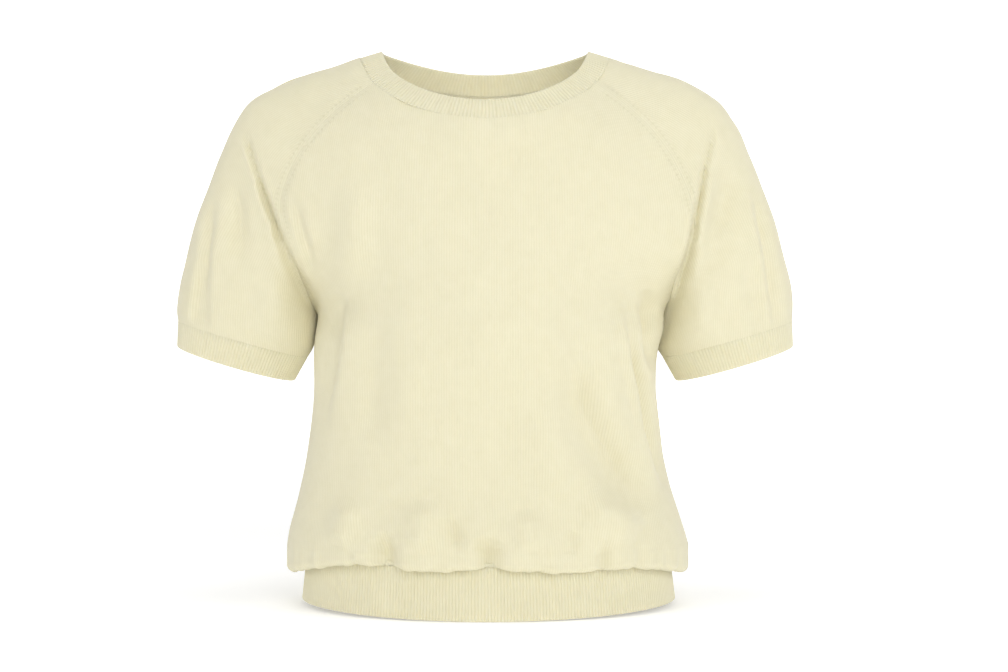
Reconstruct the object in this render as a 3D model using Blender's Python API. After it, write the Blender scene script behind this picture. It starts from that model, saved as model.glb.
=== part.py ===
"""A short-sleeve jumper in fine-gauge knit, hollow, in the form it has when it is worn.

Eight pieces: a front and a back, two raglan sleeves, and ribbed bands at the neck, the hem
and both cuffs. The body blouses over the narrower hem band and rolls under to meet it.

Sizes are in millimetres until an object is made. X runs to the wearer's left, the front
faces -Y, and Z is up. Heights in the tables are measured from the high shoulder points,
where the neckline's edge meets the shoulders; the origin is a little below them, where the
wearer's shoulders carry the jumper.

The form is a stack of rings. Each ring above the underarm runs round the front, over one
sleeve, round the back and over the other sleeve, as four pairs of arcs that meet on the
raglan seams. Below the underarm it splits into a ring round the body and one round each
sleeve. The pieces are cut from those rings, so neighbours share their seams.
"""
import math

import bpy
import numpy as np

MM = 0.001
ORIGIN_Z = -20.0            # the origin's height, measured from the high shoulder points

WALL = 2.0                  # thickness of the knit
SEAM_GAP = 0.3              # between neighbouring pieces
NECKLINE = -0.08            # yoke position of the neckline's edge; the neck seam is at 0
UNDERARM = 1.0              # yoke position of the underarm
SIDE_SEAM_START = 0.5       # from here down, front and back draw apart for the side seam

# How finely each piece is divided.
FRONT_HALF_COLUMNS = 14
BACK_HALF_COLUMNS = 12
SLEEVE_HALF_COLUMNS = 11
YOKE_ROWS = 12
BODY_ROWS = 10
SLEEVE_ROWS = 4
NECK_ROWS = 1
ROLL_STEPS = 5

# The ribs, counted round each band.
HEM_RIBS = 280
NECK_RIBS = 176
CUFF_RIBS = 104
RIB_DEPTH = 0.8
BAND_WALL = 2.6

# The hem band hangs inside the rolled lower edge of the body.
HEM_TOP = {
    "half": 175.0, "sway": 3.0, "side_y": 2.0, "side_z": -471.0, "centre_share": 0.57,
    "side_share": 0.58, "front_y": -117.0, "front_z": -471.0, "back_y": 101.0, "back_z": -471.0,
}
HEM_EDGE = {
    "half": 177.0, "sway": 3.5, "side_y": 2.0, "side_z": -518.0, "centre_share": 0.56,
    "side_share": 0.57, "front_y": -119.0, "front_z": -523.0, "back_y": 103.0, "back_z": -521.0,
}
ROLL_STANDOFF = 1.4         # the roll's inner leg leans this far out from the band

# Each sleeve's middle, front to back, and its cuff's lower edge, seen from the front.
SLEEVE_Y = 8.0
CUFF_EDGE = {
    "inner_x": 182.0, "inner_z": -312.5, "outer_x": 293.5, "outer_z": -279.5,
    "front": 41.0, "back": 41.0, "dip": 3.0,
}
TUBE_HANDLE = 4.0 / 3.0     # makes an arc's handles from the depth of a sleeve

KNIT_COLOUR = (0.871, 0.831, 0.617, 1.0)
RIB_COLOUR = (0.800, 0.756, 0.536, 1.0)
KNIT_ROUGHNESS = 0.9


class Table:
    """Rows of named columns, read between the rows on a smooth curve."""

    def __init__(self, columns, *rows):
        self.columns = columns.split()
        values = np.array(rows, dtype=float)
        self.knots = values[:, 0]
        self.data = values[:, 1:]
        steps = np.diff(self.knots)[:, None]
        secants = np.diff(self.data, axis=0) / steps
        slopes = np.zeros_like(self.data)
        weights = steps[:-1] + steps[1:]
        slopes[1:-1] = (steps[1:] * secants[:-1] + steps[:-1] * secants[1:]) / weights
        slopes[0] = 1.5 * secants[0] - 0.5 * slopes[1]
        slopes[-1] = 1.5 * secants[-1] - 0.5 * slopes[-2]
        self.slopes = slopes

    def at(self, where):
        """A dictionary of the columns, where the first column has this value."""
        last = len(self.knots) - 2
        row = int(np.clip(np.searchsorted(self.knots, where) - 1, 0, last))
        step = self.knots[row + 1] - self.knots[row]
        s = (where - self.knots[row]) / step
        value = (
            (2 * s**3 - 3 * s**2 + 1) * self.data[row]
            + (s**3 - 2 * s**2 + s) * step * self.slopes[row]
            + (3 * s**2 - 2 * s**3) * self.data[row + 1]
            + (s**3 - s**2) * step * self.slopes[row + 1]
        )
        return dict(zip(self.columns[1:], value))


# The yoke, for the wearer's left half. t runs from the neckline's edge through the neck seam
# at 0 to the underarm at 1.
FRONT_CENTRE = Table(
    "t      y     z",
    (-0.08, -72, -54),
    (0.00, -83, -73),
    (0.25, -95, -122),
    (0.50, -106, -170),
    (0.75, -118, -216),
    (1.00, -124, -260),
)
FRONT_RAGLAN = Table(
    "t      x      y      z",
    (-0.08, 85.0, -33.5, -23.5),
    (0.00, 103.0, -39.0, -35.0),
    (0.16, 137.0, -50.0, -62.0),
    (0.26, 155.0, -55.0, -81.0),
    (0.40, 176.0, -58.0, -113.0),
    (0.53, 187.0, -58.0, -148.0),
    (0.66, 182.0, -50.0, -181.0),
    (0.80, 172.0, -31.0, -214.0),
    (1.00, 159.0, 8.0, -252.0),
)
OVERARM = Table(
    "t      x      y    z",
    (-0.08, 98.0, 5.0, 1.0),
    (0.00, 119.0, 5.0, -5.5),
    (0.10, 147.0, 5.0, -15.0),
    (0.20, 175.0, 5.0, -23.0),
    (0.30, 202.0, 5.0, -34.0),
    (0.39, 225.0, 5.0, -50.0),
    (0.47, 241.0, 6.0, -72.0),
    (0.55, 251.5, 6.0, -97.0),
    (0.65, 262.0, 7.0, -125.0),
    (0.75, 272.0, 7.0, -151.0),
    (0.85, 281.0, 8.0, -179.0),
    (1.00, 291.0, 8.0, -216.0),
)
BACK_RAGLAN = Table(
    "t      x      y     z",
    (-0.08, 85.0, 32.5, -1.5),
    (0.00, 103.0, 38.0, -14.0),
    (0.18, 139.0, 51.0, -46.0),
    (0.40, 172.0, 62.0, -98.0),
    (0.58, 184.0, 62.0, -145.0),
    (0.74, 178.0, 50.0, -187.0),
    (0.87, 168.0, 31.0, -220.0),
    (1.00, 159.0, 8.0, -252.0),
)
BACK_CENTRE = Table(
    "t      y    z",
    (-0.08, 60, -13),
    (0.00, 71, -33),
    (0.25, 88, -85),
    (0.50, 98, -140),
    (0.75, 101, -197),
    (1.00, 99, -252),
)

# The direction a ring takes as it crosses the front raglan seam: degrees from +X towards +Y
# on the body's side and on the sleeve's side, and its rise. Where the two sides differ the
# cloth creases, down to the underarm, where the sleeve doubles back beside the body.
TURN = Table(
    "t      body  sleeve  front_rise  back_rise",
    (-0.08, 53.0, 53.0, 31.0, 5.0),
    (0.00, 52.0, 52.0, 32.0, 13.0),
    (0.20, 42.0, 42.0, 33.0, 26.0),
    (0.40, 34.0, 31.0, 30.0, 30.0),
    (0.55, 38.0, 14.0, 20.0, 24.0),
    (0.70, 58.0, -30.0, 8.0, 12.0),
    (0.85, 80.0, -70.0, 2.0, 4.0),
    (1.00, 88.0, -88.0, 0.0, 0.0),
)

# The lengths of the arcs' handles.
HANDLES = Table(
    "t      centre  front_body  back_body  sleeve  overarm",
    (-0.08, 36.0, 33.0, 33.0, 14.0, 14.0),
    (0.00, 43.0, 40.0, 38.0, 17.0, 19.0),
    (0.20, 55.0, 52.0, 50.0, 26.0, 28.0),
    (0.40, 68.0, 60.0, 56.0, 36.0, 36.0),
    (0.55, 80.0, 48.0, 46.0, 38.0, 40.0),
    (0.70, 90.0, 36.0, 34.0, 46.0, 46.0),
    (0.85, 94.0, 52.0, 38.0, 58.0, 54.0),
    (1.00, 95.4, 81.8, 56.4, 64.0, 64.0),
)

# The body from the underarm at 0 to the fullest line of the blouse at 1.
BODY = Table(
    "w     half   sway  side_y  side_z  centre_share  side_share  front_y  front_z  back_y  back_z",
    (0.00, 159.0, 0.0, 8.0, -252.0, 0.60, 0.62, -124.0, -260.0, 99.0, -252.0),
    (0.12, 161.5, 0.0, 7.0, -278.0, 0.60, 0.62, -123.0, -284.0, 96.0, -278.0),
    (0.35, 162.0, 0.0, 4.0, -330.0, 0.59, 0.61, -117.0, -333.0, 88.0, -330.0),
    (0.56, 168.0, 0.0, 2.0, -377.0, 0.58, 0.60, -114.0, -378.0, 88.0, -377.0),
    (0.77, 178.0, 0.5, 2.0, -422.0, 0.58, 0.59, -119.0, -421.0, 97.0, -422.0),
    (0.90, 186.0, 1.5, 2.0, -450.0, 0.57, 0.58, -127.0, -447.0, 108.0, -450.0),
    (1.00, 189.5, 2.5, 2.0, -467.0, 0.57, 0.58, -130.0, -463.0, 113.0, -465.0),
)

# The lowest line of the rolled edge, from the wearer's right side seam to the left.
ROLL_BOTTOM = Table(
    "u     front   back",
    (-1.00, -492.0, -492.0),
    (-0.92, -491.0, -491.5),
    (-0.75, -484.5, -486.0),
    (-0.50, -475.5, -480.0),
    (-0.20, -478.5, -482.0),
    (0.00, -476.5, -478.0),
    (0.30, -480.5, -481.0),
    (0.55, -479.5, -479.0),
    (0.75, -485.5, -486.0),
    (0.92, -491.5, -491.5),
    (1.00, -492.5, -492.5),
)

# A sleeve below the underarm: its inner and outer edges seen from the front, and its depth.
SLEEVE = Table(
    "s     inner_x  inner_z  outer_x  outer_z  front  back  dip",
    (0.00, 159.0, -252.0, 291.0, -216.0, 48.0, 48.0, 0.0),
    (0.50, 162.2, -274.5, 293.0, -236.0, 47.0, 47.0, 1.0),
    (1.00, 169.5, -290.0, 292.5, -255.0, 44.0, 44.0, 2.0),
)

# The largest folds, drawn as troughs on the front or back view. Each runs through three
# points, is as deep as given at each of them, and has this half width.
FOLD_COLUMNS = "piece side x0 z0 x1 z1 x2 z2 depth0 depth1 depth2 width"
FOLDS = (
    ("sleeve_left", "front", 212, -80, 205, -122, 194, -172, 0, 9, 6, 12),
    ("sleeve_left", "front", 258, -150, 268, -195, 279, -242, 0, 4, 3, 10),
    ("sleeve_left", "front", 245, -125, 232, -150, 218, -168, 0, 4, 0, 12),
    ("sleeve_right", "front", -222, -92, -210, -134, -193, -178, 0, 9, 6, 12),
    ("sleeve_right", "front", -256, -140, -266, -195, -272, -250, 0, 5, 4, 10),
    ("sleeve_right", "front", -243, -118, -231, -182, -216, -238, 0, 4, 0, 11),
    ("front", "front", -173, -158, -163, -188, -149, -222, 0, 6, 0, 9),
    ("front", "front", -149, -146, -138, -174, -125, -204, 0, 4, 0, 12),
    ("front", "front", -126, -232, -137, -292, -150, -348, 0, 8, 0, 10),
    ("front", "front", 126, -228, 136, -292, 157, -352, 0, 8, 0, 10),
    ("front", "front", 151, -240, 153, -260, 154, -282, 0, 5, 0, 8),
    ("front", "front", 88, -340, 120, -397, 148, -440, 0, 7, 0, 18),
    ("front", "front", -92, -445, -83, -458, -74, -474, 0, 5, 4, 9),
    ("front", "front", -28, -430, -20, -446, -14, -462, 0, 4, 0, 9),
    ("front", "front", 1, -443, 2, -459, 3, -476, 0, 5, 5, 9),
    ("front", "front", 112, -450, 103, -463, 93, -478, 0, 4, 4, 9),
    ("back", "back", -150, -160, -140, -195, -118, -240, 0, 4, 0, 12),
    ("back", "back", 152, -150, 140, -190, 124, -230, 0, 4, 0, 11),
    ("back", "back", 120, -236, 134, -300, 150, -360, 0, 6, 0, 10),
    ("back", "back", -128, -240, -138, -296, -152, -342, 0, 5, 0, 9),
    ("back", "back", -96, -350, -60, -400, -20, -440, 0, 5, 0, 18),
    ("back", "back", 60, -440, 54, -455, 46, -474, 0, 4, 3, 8),
    ("back", "back", -70, -445, -64, -460, -60, -476, 0, 4, 3, 8),
    ("sleeve_left", "back", 214, -90, 205, -130, 192, -180, 0, 6, 3, 12),
    ("sleeve_left", "back", 254, -150, 262, -195, 270, -244, 0, 4, 0, 10),
    ("sleeve_right", "back", -210, -92, -202, -134, -191, -182, 0, 6, 3, 12),
    ("sleeve_right", "back", -240, -130, -236, -180, -226, -236, 0, 3, 0, 11),
)
FOLD_SHOULDER = 0.22        # the cloth pushed up beside a trough, as a share of its depth
SHOULDER_AT = 2.0           # where that lies, in half widths from the trough's middle
FOLD_STATIONS = (0.0, 0.25, 0.75, 1.0)      # where along a fold its depths are given
SEAM_CALM = 12.0            # folds die out this close to a seam
FACING = 0.25               # how squarely a point faces front or back to take a whole fold

ARC_SAMPLES = 81            # an arc is measured in this many places
INNER_STEP = 4              # a band's inside has one point for this many on its outside
SHARP_ANGLE = 35.0


def vector(x, y, z):
    """A point or direction."""
    return np.array((x, y, z), dtype=float)


def unit(v):
    """The same directions, of length one."""
    return v / np.maximum(np.linalg.norm(v, axis=-1, keepdims=True), 1e-12)


def mirrored(points):
    """The same ring stretch on the wearer's other side, still running the same way round."""
    return points[::-1] * vector(-1.0, 1.0, 1.0)


def smooth(value):
    """0 below 0, 1 above 1, and a smooth step between."""
    s = np.clip(value, 0.0, 1.0)
    return s * s * (3.0 - 2.0 * s)


def arc(start, leave, handle_start, end, arrive, handle_end, count):
    """count + 1 points, evenly spaced along one cubic arc."""
    controls = (start, start + leave * handle_start, end - arrive * handle_end, end)
    s = np.linspace(0.0, 1.0, ARC_SAMPLES)
    fine = cubic(controls, s)
    run = np.concatenate(([0.0], np.cumsum(np.linalg.norm(np.diff(fine, axis=0), axis=1))))
    return cubic(controls, np.interp(np.linspace(0.0, run[-1], count + 1), run, s))


def cubic(controls, s):
    """Points of the cubic Bezier curve with these controls."""
    s = s[:, None]
    a, b, c, d = controls
    return (1 - s) ** 3 * a + 3 * (1 - s) ** 2 * s * b + 3 * (1 - s) * s**2 * c + s**3 * d


def heading(degrees, rise):
    """The direction this many degrees from +X towards +Y, rising by this many degrees."""
    flat = math.cos(math.radians(rise))
    return vector(
        flat * math.cos(math.radians(degrees)),
        flat * math.sin(math.radians(degrees)),
        math.sin(math.radians(rise)),
    )


def seam_headings(t):
    """A ring's directions at the left raglan seams, in ring order, on each side of each."""
    turn = TURN.at(t)
    return {
        "front_body": heading(turn["body"], turn["front_rise"]),
        "front_sleeve": heading(turn["sleeve"], turn["front_rise"]),
        "back_sleeve": heading(180.0 - turn["sleeve"], -turn["back_rise"]),
        "back_body": heading(180.0 - turn["body"], -turn["back_rise"]),
    }


def raglan_points(t):
    """The left front and back raglan seams at t, and the way across each, body to sleeve."""
    head = seam_headings(t)
    front = FRONT_RAGLAN.at(t)
    back = BACK_RAGLAN.at(t)
    return (
        vector(front["x"], front["y"], front["z"]),
        unit(head["front_body"] + head["front_sleeve"]),
        vector(back["x"], back["y"], back["z"]),
        -unit(head["back_body"] + head["back_sleeve"]),
    )


def side_share(t):
    """How far the raglan seam has turned into the side seam between front and back."""
    return float(smooth((t - SIDE_SEAM_START) / (UNDERARM - SIDE_SEAM_START)))


def yoke_front(t, half_columns):
    """One row of the front above the underarm, from the right raglan seam to the left."""
    handle = HANDLES.at(t)
    centre = FRONT_CENTRE.at(t)
    seam, across, _, _ = raglan_points(t)
    forward = seam_headings(t)["front_body"]
    half = arc(
        vector(0.0, centre["y"], centre["z"]), vector(1.0, 0.0, 0.0), handle["centre"],
        seam - (across + forward * side_share(t)) * SEAM_GAP / 2, forward, handle["front_body"],
        half_columns,
    )
    return np.concatenate((mirrored(half), half[1:]))


def yoke_back(t, half_columns):
    """One row of the back above the underarm, from the left raglan seam to the right."""
    handle = HANDLES.at(t)
    centre = BACK_CENTRE.at(t)
    _, _, seam, across = raglan_points(t)
    forward = seam_headings(t)["back_body"]
    half = arc(
        seam - (across - forward * side_share(t)) * SEAM_GAP / 2, forward, handle["back_body"],
        vector(0.0, centre["y"], centre["z"]), vector(-1.0, 0.0, 0.0), handle["centre"],
        half_columns,
    )
    return np.concatenate((half, mirrored(half)[1:]))


def yoke_sleeve(t, half_columns):
    """One row of the left sleeve above the underarm, from its front seam to its back seam."""
    handle = HANDLES.at(t)
    head = seam_headings(t)
    top = OVERARM.at(t)
    top_point = vector(top["x"], top["y"], top["z"])
    backward = vector(0.0, 1.0, 0.0)
    front, front_across, back, back_across = raglan_points(t)
    fore = arc(
        front + front_across * SEAM_GAP / 2, head["front_sleeve"], handle["sleeve"],
        top_point, backward, handle["overarm"], half_columns,
    )
    rear = arc(
        top_point, backward, handle["overarm"],
        back + back_across * SEAM_GAP / 2, head["back_sleeve"], handle["sleeve"], half_columns,
    )
    return np.concatenate((fore, rear[1:]))


def ring_front(row, half_columns):
    """The front half of a ring round the body, from the right side seam to the left."""
    centre = vector(0.0, row["front_y"], row["front_z"])
    side = vector(row["half"], row["side_y"] - SEAM_GAP / 2, row["side_z"])
    depth = row["side_y"] - row["front_y"]
    half = arc(
        centre, vector(1.0, 0.0, 0.0), row["centre_share"] * row["half"],
        side, vector(0.0, 1.0, 0.0), row["side_share"] * depth, half_columns,
    )
    return np.concatenate((mirrored(half), half[1:])) + vector(row["sway"], 0.0, 0.0)


def ring_back(row, half_columns):
    """The back half of a ring round the body, from the left side seam to the right."""
    centre = vector(0.0, row["back_y"], row["back_z"])
    side = vector(row["half"], row["side_y"] + SEAM_GAP / 2, row["side_z"])
    depth = row["back_y"] - row["side_y"]
    half = arc(
        side, vector(0.0, 1.0, 0.0), row["side_share"] * depth,
        centre, vector(-1.0, 0.0, 0.0), row["centre_share"] * row["half"], half_columns,
    )
    return np.concatenate((half, mirrored(half)[1:])) + vector(row["sway"], 0.0, 0.0)


def sleeve_ring(row, half_columns):
    """One closed row of the left sleeve, from its underarm line, forward and round."""
    inner = vector(row["inner_x"], SLEEVE_Y, row["inner_z"])
    outer = vector(row["outer_x"], SLEEVE_Y, row["outer_z"])
    fore = vector(0.0, -1.0, -row["dip"] / row["front"])
    rear = vector(0.0, 1.0, 0.0)
    front = arc(
        inner, fore, TUBE_HANDLE * row["front"],
        outer, -fore, TUBE_HANDLE * row["front"], half_columns,
    )
    back = arc(
        outer, rear, TUBE_HANDLE * row["back"],
        inner, -rear, TUBE_HANDLE * row["back"], half_columns,
    )
    return np.concatenate((front, back[1:]))


def grid_normals(grid, first, last, above, closed_from=None, below=None):
    """Outward directions at a grid's points, whose rows run down and columns round.

    first and last are the rows' own directions at the grid's two sides, where it is open.
    Rows from closed_from on are closed rings. above and below are rows of the next pieces.
    """
    down = np.gradient(grid, axis=0)
    down[0] = grid[1] - above
    if below is not None:
        down[-1] = below - grid[-1]
    along = np.gradient(grid, axis=1)
    open_rows = len(grid)
    if closed_from is not None:
        open_rows = closed_from
        wrap = grid[closed_from:, 1] - grid[closed_from:, -2]
        along[closed_from:, 0] = wrap
        along[closed_from:, -1] = wrap
    along[:open_rows, 0] = first[:open_rows]
    along[:open_rows, -1] = last[:open_rows]
    normals = unit(np.cross(down, along))
    if closed_from is not None:
        joint = unit(normals[closed_from, 0] + normals[closed_from, -1])
        normals[closed_from, 0] = joint
        normals[closed_from, -1] = joint
    return normals


def fold_depth(points, fold):
    """How deep one fold's trough is at these points, seen along Y."""
    path = fold_path(fold)
    start = path[:-1]
    step = path[1:] - start
    flat = points[:, None, :][..., (0, 2)] - start[None]
    share = np.clip((flat * step).sum(-1) / (step * step).sum(-1), 0.0, 1.0)
    apart = np.linalg.norm(flat - share[..., None] * step, axis=-1)
    nearest = apart.argmin(axis=1)
    pick = np.arange(len(points))
    along = (nearest + share[pick, nearest]) / len(step)
    off = apart[pick, nearest] / fold["width"]
    depths = (fold["depth0"], fold["depth1"], fold["depth1"], fold["depth2"])
    depth = np.interp(along, FOLD_STATIONS, depths)
    trough = np.exp(-off**2)
    shoulder = FOLD_SHOULDER * np.exp(-((off - SHOULDER_AT) ** 2))
    return depth * (trough - shoulder)


def fold_path(fold, pieces=12):
    """A smooth flat path through a fold's three points, as x and z."""
    a = np.array((fold["x0"], fold["z0"]), dtype=float)
    b = np.array((fold["x1"], fold["z1"]), dtype=float)
    c = np.array((fold["x2"], fold["z2"]), dtype=float)
    s = np.linspace(0.0, 1.0, pieces + 1)[:, None]
    middle = 2 * b - (a + c) / 2
    return (1 - s) ** 2 * a + 2 * (1 - s) * s * middle + s**2 * c


def folded(name, grid, normals, calm):
    """The grid with the folds of this piece pressed in; calm is 0 where it must not move."""
    shape = grid.shape
    points = grid.reshape(-1, 3)
    facing = normals.reshape(-1, 3)[:, 1]
    total = np.zeros(len(points))
    for values in FOLDS:
        fold = dict(zip(FOLD_COLUMNS.split(), values))
        if fold["piece"] != name:
            continue
        sign = -1.0 if fold["side"] == "front" else 1.0
        total += fold_depth(points, fold) * smooth(sign * facing / FACING)
    moved = points - normals.reshape(-1, 3) * (total * calm.reshape(-1))[:, None]
    return moved.reshape(shape)


def seam_distance(grid):
    """How far each point is from the nearer end of its row."""
    steps = np.linalg.norm(np.diff(grid, axis=1), axis=2)
    run = np.concatenate((np.zeros((len(grid), 1)), np.cumsum(steps, axis=1)), axis=1)
    return np.minimum(run, run[:, -1:] - run)


def roll_rows(fullest, seam, lowest):
    """The rows that turn under the fullest line of the body and up to the hem band's seam."""
    outward = fullest - seam
    outward[:, 2] = 0.0
    outward = unit(outward)
    foot = seam + outward * ROLL_STANDOFF
    radius = np.linalg.norm((fullest - foot)[:, :2], axis=1)[:, None] / 2
    middle = (fullest + foot) / 2
    middle[:, 2:] = lowest[:, None] + radius
    rows = []
    for step in range(ROLL_STEPS + 1):
        angle = math.pi * step / ROLL_STEPS
        drop = vector(0.0, 0.0, -1.0) * math.sin(angle)
        rows.append(middle + radius * (outward * math.cos(angle) + drop))
    rows.append(seam)
    return np.array(rows)


def panel_grid(name, yoke_row, ring_row, half_columns):
    """A whole front or back: its yoke rows, its body rows and its rolled lower edge."""
    is_front = name == "front"
    order = 1.0 if is_front else -1.0
    ts = np.linspace(0.0, UNDERARM, YOKE_ROWS + 1)
    ws = np.linspace(0.0, 1.0, BODY_ROWS + 1)[1:]
    rows = [yoke_row(t, half_columns) for t in ts]
    rows += [ring_row(BODY.at(w), half_columns) for w in ws]
    grid = np.array(rows)
    above = yoke_row(NECKLINE / NECK_ROWS, half_columns)
    near, far = edge_headings(name, ts, len(ws))
    normals = grid_normals(grid, near, far, above)
    calm = smooth(seam_distance(grid) / SEAM_CALM)
    grid = folded(name, grid, normals, calm)

    spot = order * np.linspace(-1.0, 1.0, 2 * half_columns + 1)
    lowest = np.array([ROLL_BOTTOM.at(u)[name] for u in spot])
    seam = ring_row(HEM_TOP, half_columns)
    seam = seam + SEAM_GAP * ring_normals(seam)
    grid = np.concatenate((grid, roll_rows(grid[-1], seam, lowest)))
    extra = len(grid) - len(near)
    near = np.concatenate((near, np.repeat(near[-1:], extra, axis=0)))
    far = np.concatenate((far, np.repeat(far[-1:], extra, axis=0)))
    return grid, grid_normals(grid, near, far, above)


def edge_headings(name, ts, body_rows):
    """The rows' directions at the two sides of the front or back, in ring order."""
    key = "front_body" if name == "front" else "back_body"
    left = np.array([seam_headings(t)[key] for t in ts])
    side = np.repeat([vector(0.0, 1.0, 0.0)], body_rows, axis=0)
    left = np.concatenate((left, side))
    right = left * vector(1.0, -1.0, -1.0)
    if name == "front":
        return right, left
    return left, right


def ring_normals(ring):
    """Level outward directions along an open stretch of a ring."""
    along = np.gradient(ring, axis=0)
    along[:, 2] = 0.0
    return unit(np.cross(vector(0.0, 0.0, -1.0), along))


def sleeve_grid(name):
    """A whole sleeve, and the first of its rows that is a closed ring."""
    ts = np.linspace(0.0, UNDERARM, YOKE_ROWS + 1)
    ss = np.linspace(0.0, 1.0, SLEEVE_ROWS + 1)[1:]
    rows = [yoke_sleeve(t, SLEEVE_HALF_COLUMNS) for t in ts]
    rows[-1][-1] = rows[-1][0]
    rows += [sleeve_ring(SLEEVE.at(s), SLEEVE_HALF_COLUMNS) for s in ss]
    grid = np.array(rows)
    near = np.array([seam_headings(t)["front_sleeve"] for t in ts])
    far = np.array([seam_headings(t)["back_sleeve"] for t in ts])
    above = yoke_sleeve(NECKLINE / NECK_ROWS, SLEEVE_HALF_COLUMNS)
    below = sleeve_ring(CUFF_EDGE, SLEEVE_HALF_COLUMNS)
    if name == "sleeve_right":
        grid = np.array([mirrored(row) for row in grid])
        turned = vector(1.0, -1.0, -1.0)
        near, far = far * turned, near * turned
        above = mirrored(above)
        below = mirrored(below)
    normals = grid_normals(grid, near, far, above, YOKE_ROWS, below)
    calm = np.ones(grid.shape[:2])
    calm[:YOKE_ROWS + 1] = smooth(seam_distance(grid)[:YOKE_ROWS + 1] / SEAM_CALM)
    calm[-1] = 0.0
    grid = folded(name, grid, normals, calm)
    return grid, grid_normals(grid, near, far, above, YOKE_ROWS, below)


def wall_mesh(outer, normals, closed_from=None):
    """Points and faces of a wall behind a grid of outer points."""
    rows, columns = outer.shape[:2]
    index = np.arange(rows * columns).reshape(rows, columns)
    if closed_from is not None:
        index[closed_from:, -1] = index[closed_from:, 0]
    points = np.concatenate((outer.reshape(-1, 3), (outer - WALL * normals).reshape(-1, 3)))
    quads = []
    for i in range(rows - 1):
        for j in range(columns - 1):
            quads.append((index[i, j], index[i + 1, j], index[i + 1, j + 1], index[i, j + 1]))
    return points, closed_wall(quads, rows * columns)


def closed_wall(faces, offset):
    """The faces, their copies on the inside, and the rim that joins the two."""
    edges = set()
    for face in faces:
        edges.update(zip(face, face[1:] + face[:1]))
    inside = [tuple(corner + offset for corner in reversed(face)) for face in faces]
    rim = [
        (b, a, a + offset, b + offset)
        for a, b in edges
        if (b, a) not in edges
    ]
    return list(faces) + inside + sorted(rim)


def along_ring(ring, places):
    """Points on a closed polygon; whole numbers are its corners."""
    corner = np.floor(places).astype(int)
    share = (places - corner)[:, None]
    count = len(ring)
    return ring[corner % count] * (1 - share) + ring[(corner + 1) % count] * share


def rib_places(ring, count):
    """Even places round a closed polygon, counted in its corners."""
    steps = np.linalg.norm(np.roll(ring, -1, axis=0) - ring, axis=1)
    run = np.concatenate(([0.0], np.cumsum(steps)))
    return np.interp(np.arange(count) * run[-1] / count, run, np.arange(len(ring) + 1))


def band_mesh(rings, outward, ribs):
    """A ribbed band through closed rings, first to last down the band.

    The ribs are peaks and hollows of the outer points; the inside is plain and has one point
    for every two ribs.
    """
    fine = rib_places(rings[0], 2 * ribs)
    coarse = fine[::INNER_STEP]
    hollow = np.where(np.arange(2 * ribs) % 2 == 0, 0.0, RIB_DEPTH)[:, None]
    outer = []
    inner = []
    for ring, away in zip(rings, outward):
        outer.append(along_ring(ring, fine) - hollow * unit(along_ring(away, fine)))
        inner.append(along_ring(ring, coarse) - BAND_WALL * unit(along_ring(away, coarse)))
    wide = 2 * ribs
    narrow = len(coarse)
    inside = len(rings) * wide
    faces = []
    for row in range(len(rings) - 1):
        faces += ring_quads(row * wide, (row + 1) * wide, wide)
        upper = inside + row * narrow
        faces += [face[::-1] for face in ring_quads(upper, upper + narrow, narrow)]
    faces += band_rim(0, inside, wide, narrow)
    last = len(rings) - 1
    faces += [face[::-1] for face in band_rim(last * wide, inside + last * narrow, wide, narrow)]
    return np.concatenate(outer + inner), faces


def ring_quads(upper, lower, count):
    """The faces between two closed rings of points, the first above the second."""
    faces = []
    for k in range(count):
        after = (k + 1) % count
        faces.append((upper + k, lower + k, lower + after, upper + after))
    return faces


def band_rim(outer, inner, wide, narrow):
    """The faces across a band's upper edge, several outer steps to each inner one."""
    half = INNER_STEP // 2
    faces = []
    for k in range(narrow):
        a = inner + k
        b = inner + (k + 1) % narrow
        corners = [outer + (INNER_STEP * k + step) % wide for step in range(INNER_STEP + 1)]
        faces += [(a, corners[step], corners[step + 1]) for step in range(half)]
        faces.append((a, corners[half], b))
        faces += [(b, corners[step], corners[step + 1]) for step in range(half, INNER_STEP)]
    return faces


def closed_ring(*stretches):
    """One closed ring from stretches that each end where the next begins, near enough."""
    return np.concatenate([stretch[:-1] for stretch in stretches])


def neck_ring(t):
    """The whole ring at t, round the front, the left sleeve, the back and the right sleeve."""
    sleeve = yoke_sleeve(t, SLEEVE_HALF_COLUMNS)
    return closed_ring(
        yoke_front(t, FRONT_HALF_COLUMNS), sleeve, yoke_back(t, BACK_HALF_COLUMNS), mirrored(sleeve)
    )


def stacked_normals(rings, below=None):
    """Outward directions at a stack of closed rings; below is the ring of the next piece."""
    stack = np.array(list(rings) + ([below] if below is not None else []))
    down = np.gradient(stack, axis=0)
    along = np.roll(stack, -1, axis=1) - np.roll(stack, 1, axis=1)
    return unit(np.cross(down, along))[:len(rings)]


def neck_band():
    """The ribbed band round the neck, its lower edge just clear of the neck seam."""
    ts = np.linspace(NECKLINE, 0.0, NECK_ROWS + 1)
    rings = [neck_ring(t) for t in ts]
    outward = stacked_normals(rings, neck_ring(1.0 / YOKE_ROWS))
    rings[-1] = rings[-1] + SEAM_GAP * unit(rings[-2] - rings[-1])
    return band_mesh(rings, outward, NECK_RIBS)


def hem_band():
    """The ribbed band at the hem, hanging inside the body's rolled edge."""
    rings = []
    for row in (HEM_TOP, HEM_EDGE):
        rings.append(closed_ring(ring_front(row, FRONT_HALF_COLUMNS), ring_back(row, BACK_HALF_COLUMNS)))
    return band_mesh(rings, stacked_normals(rings), HEM_RIBS)


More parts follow.
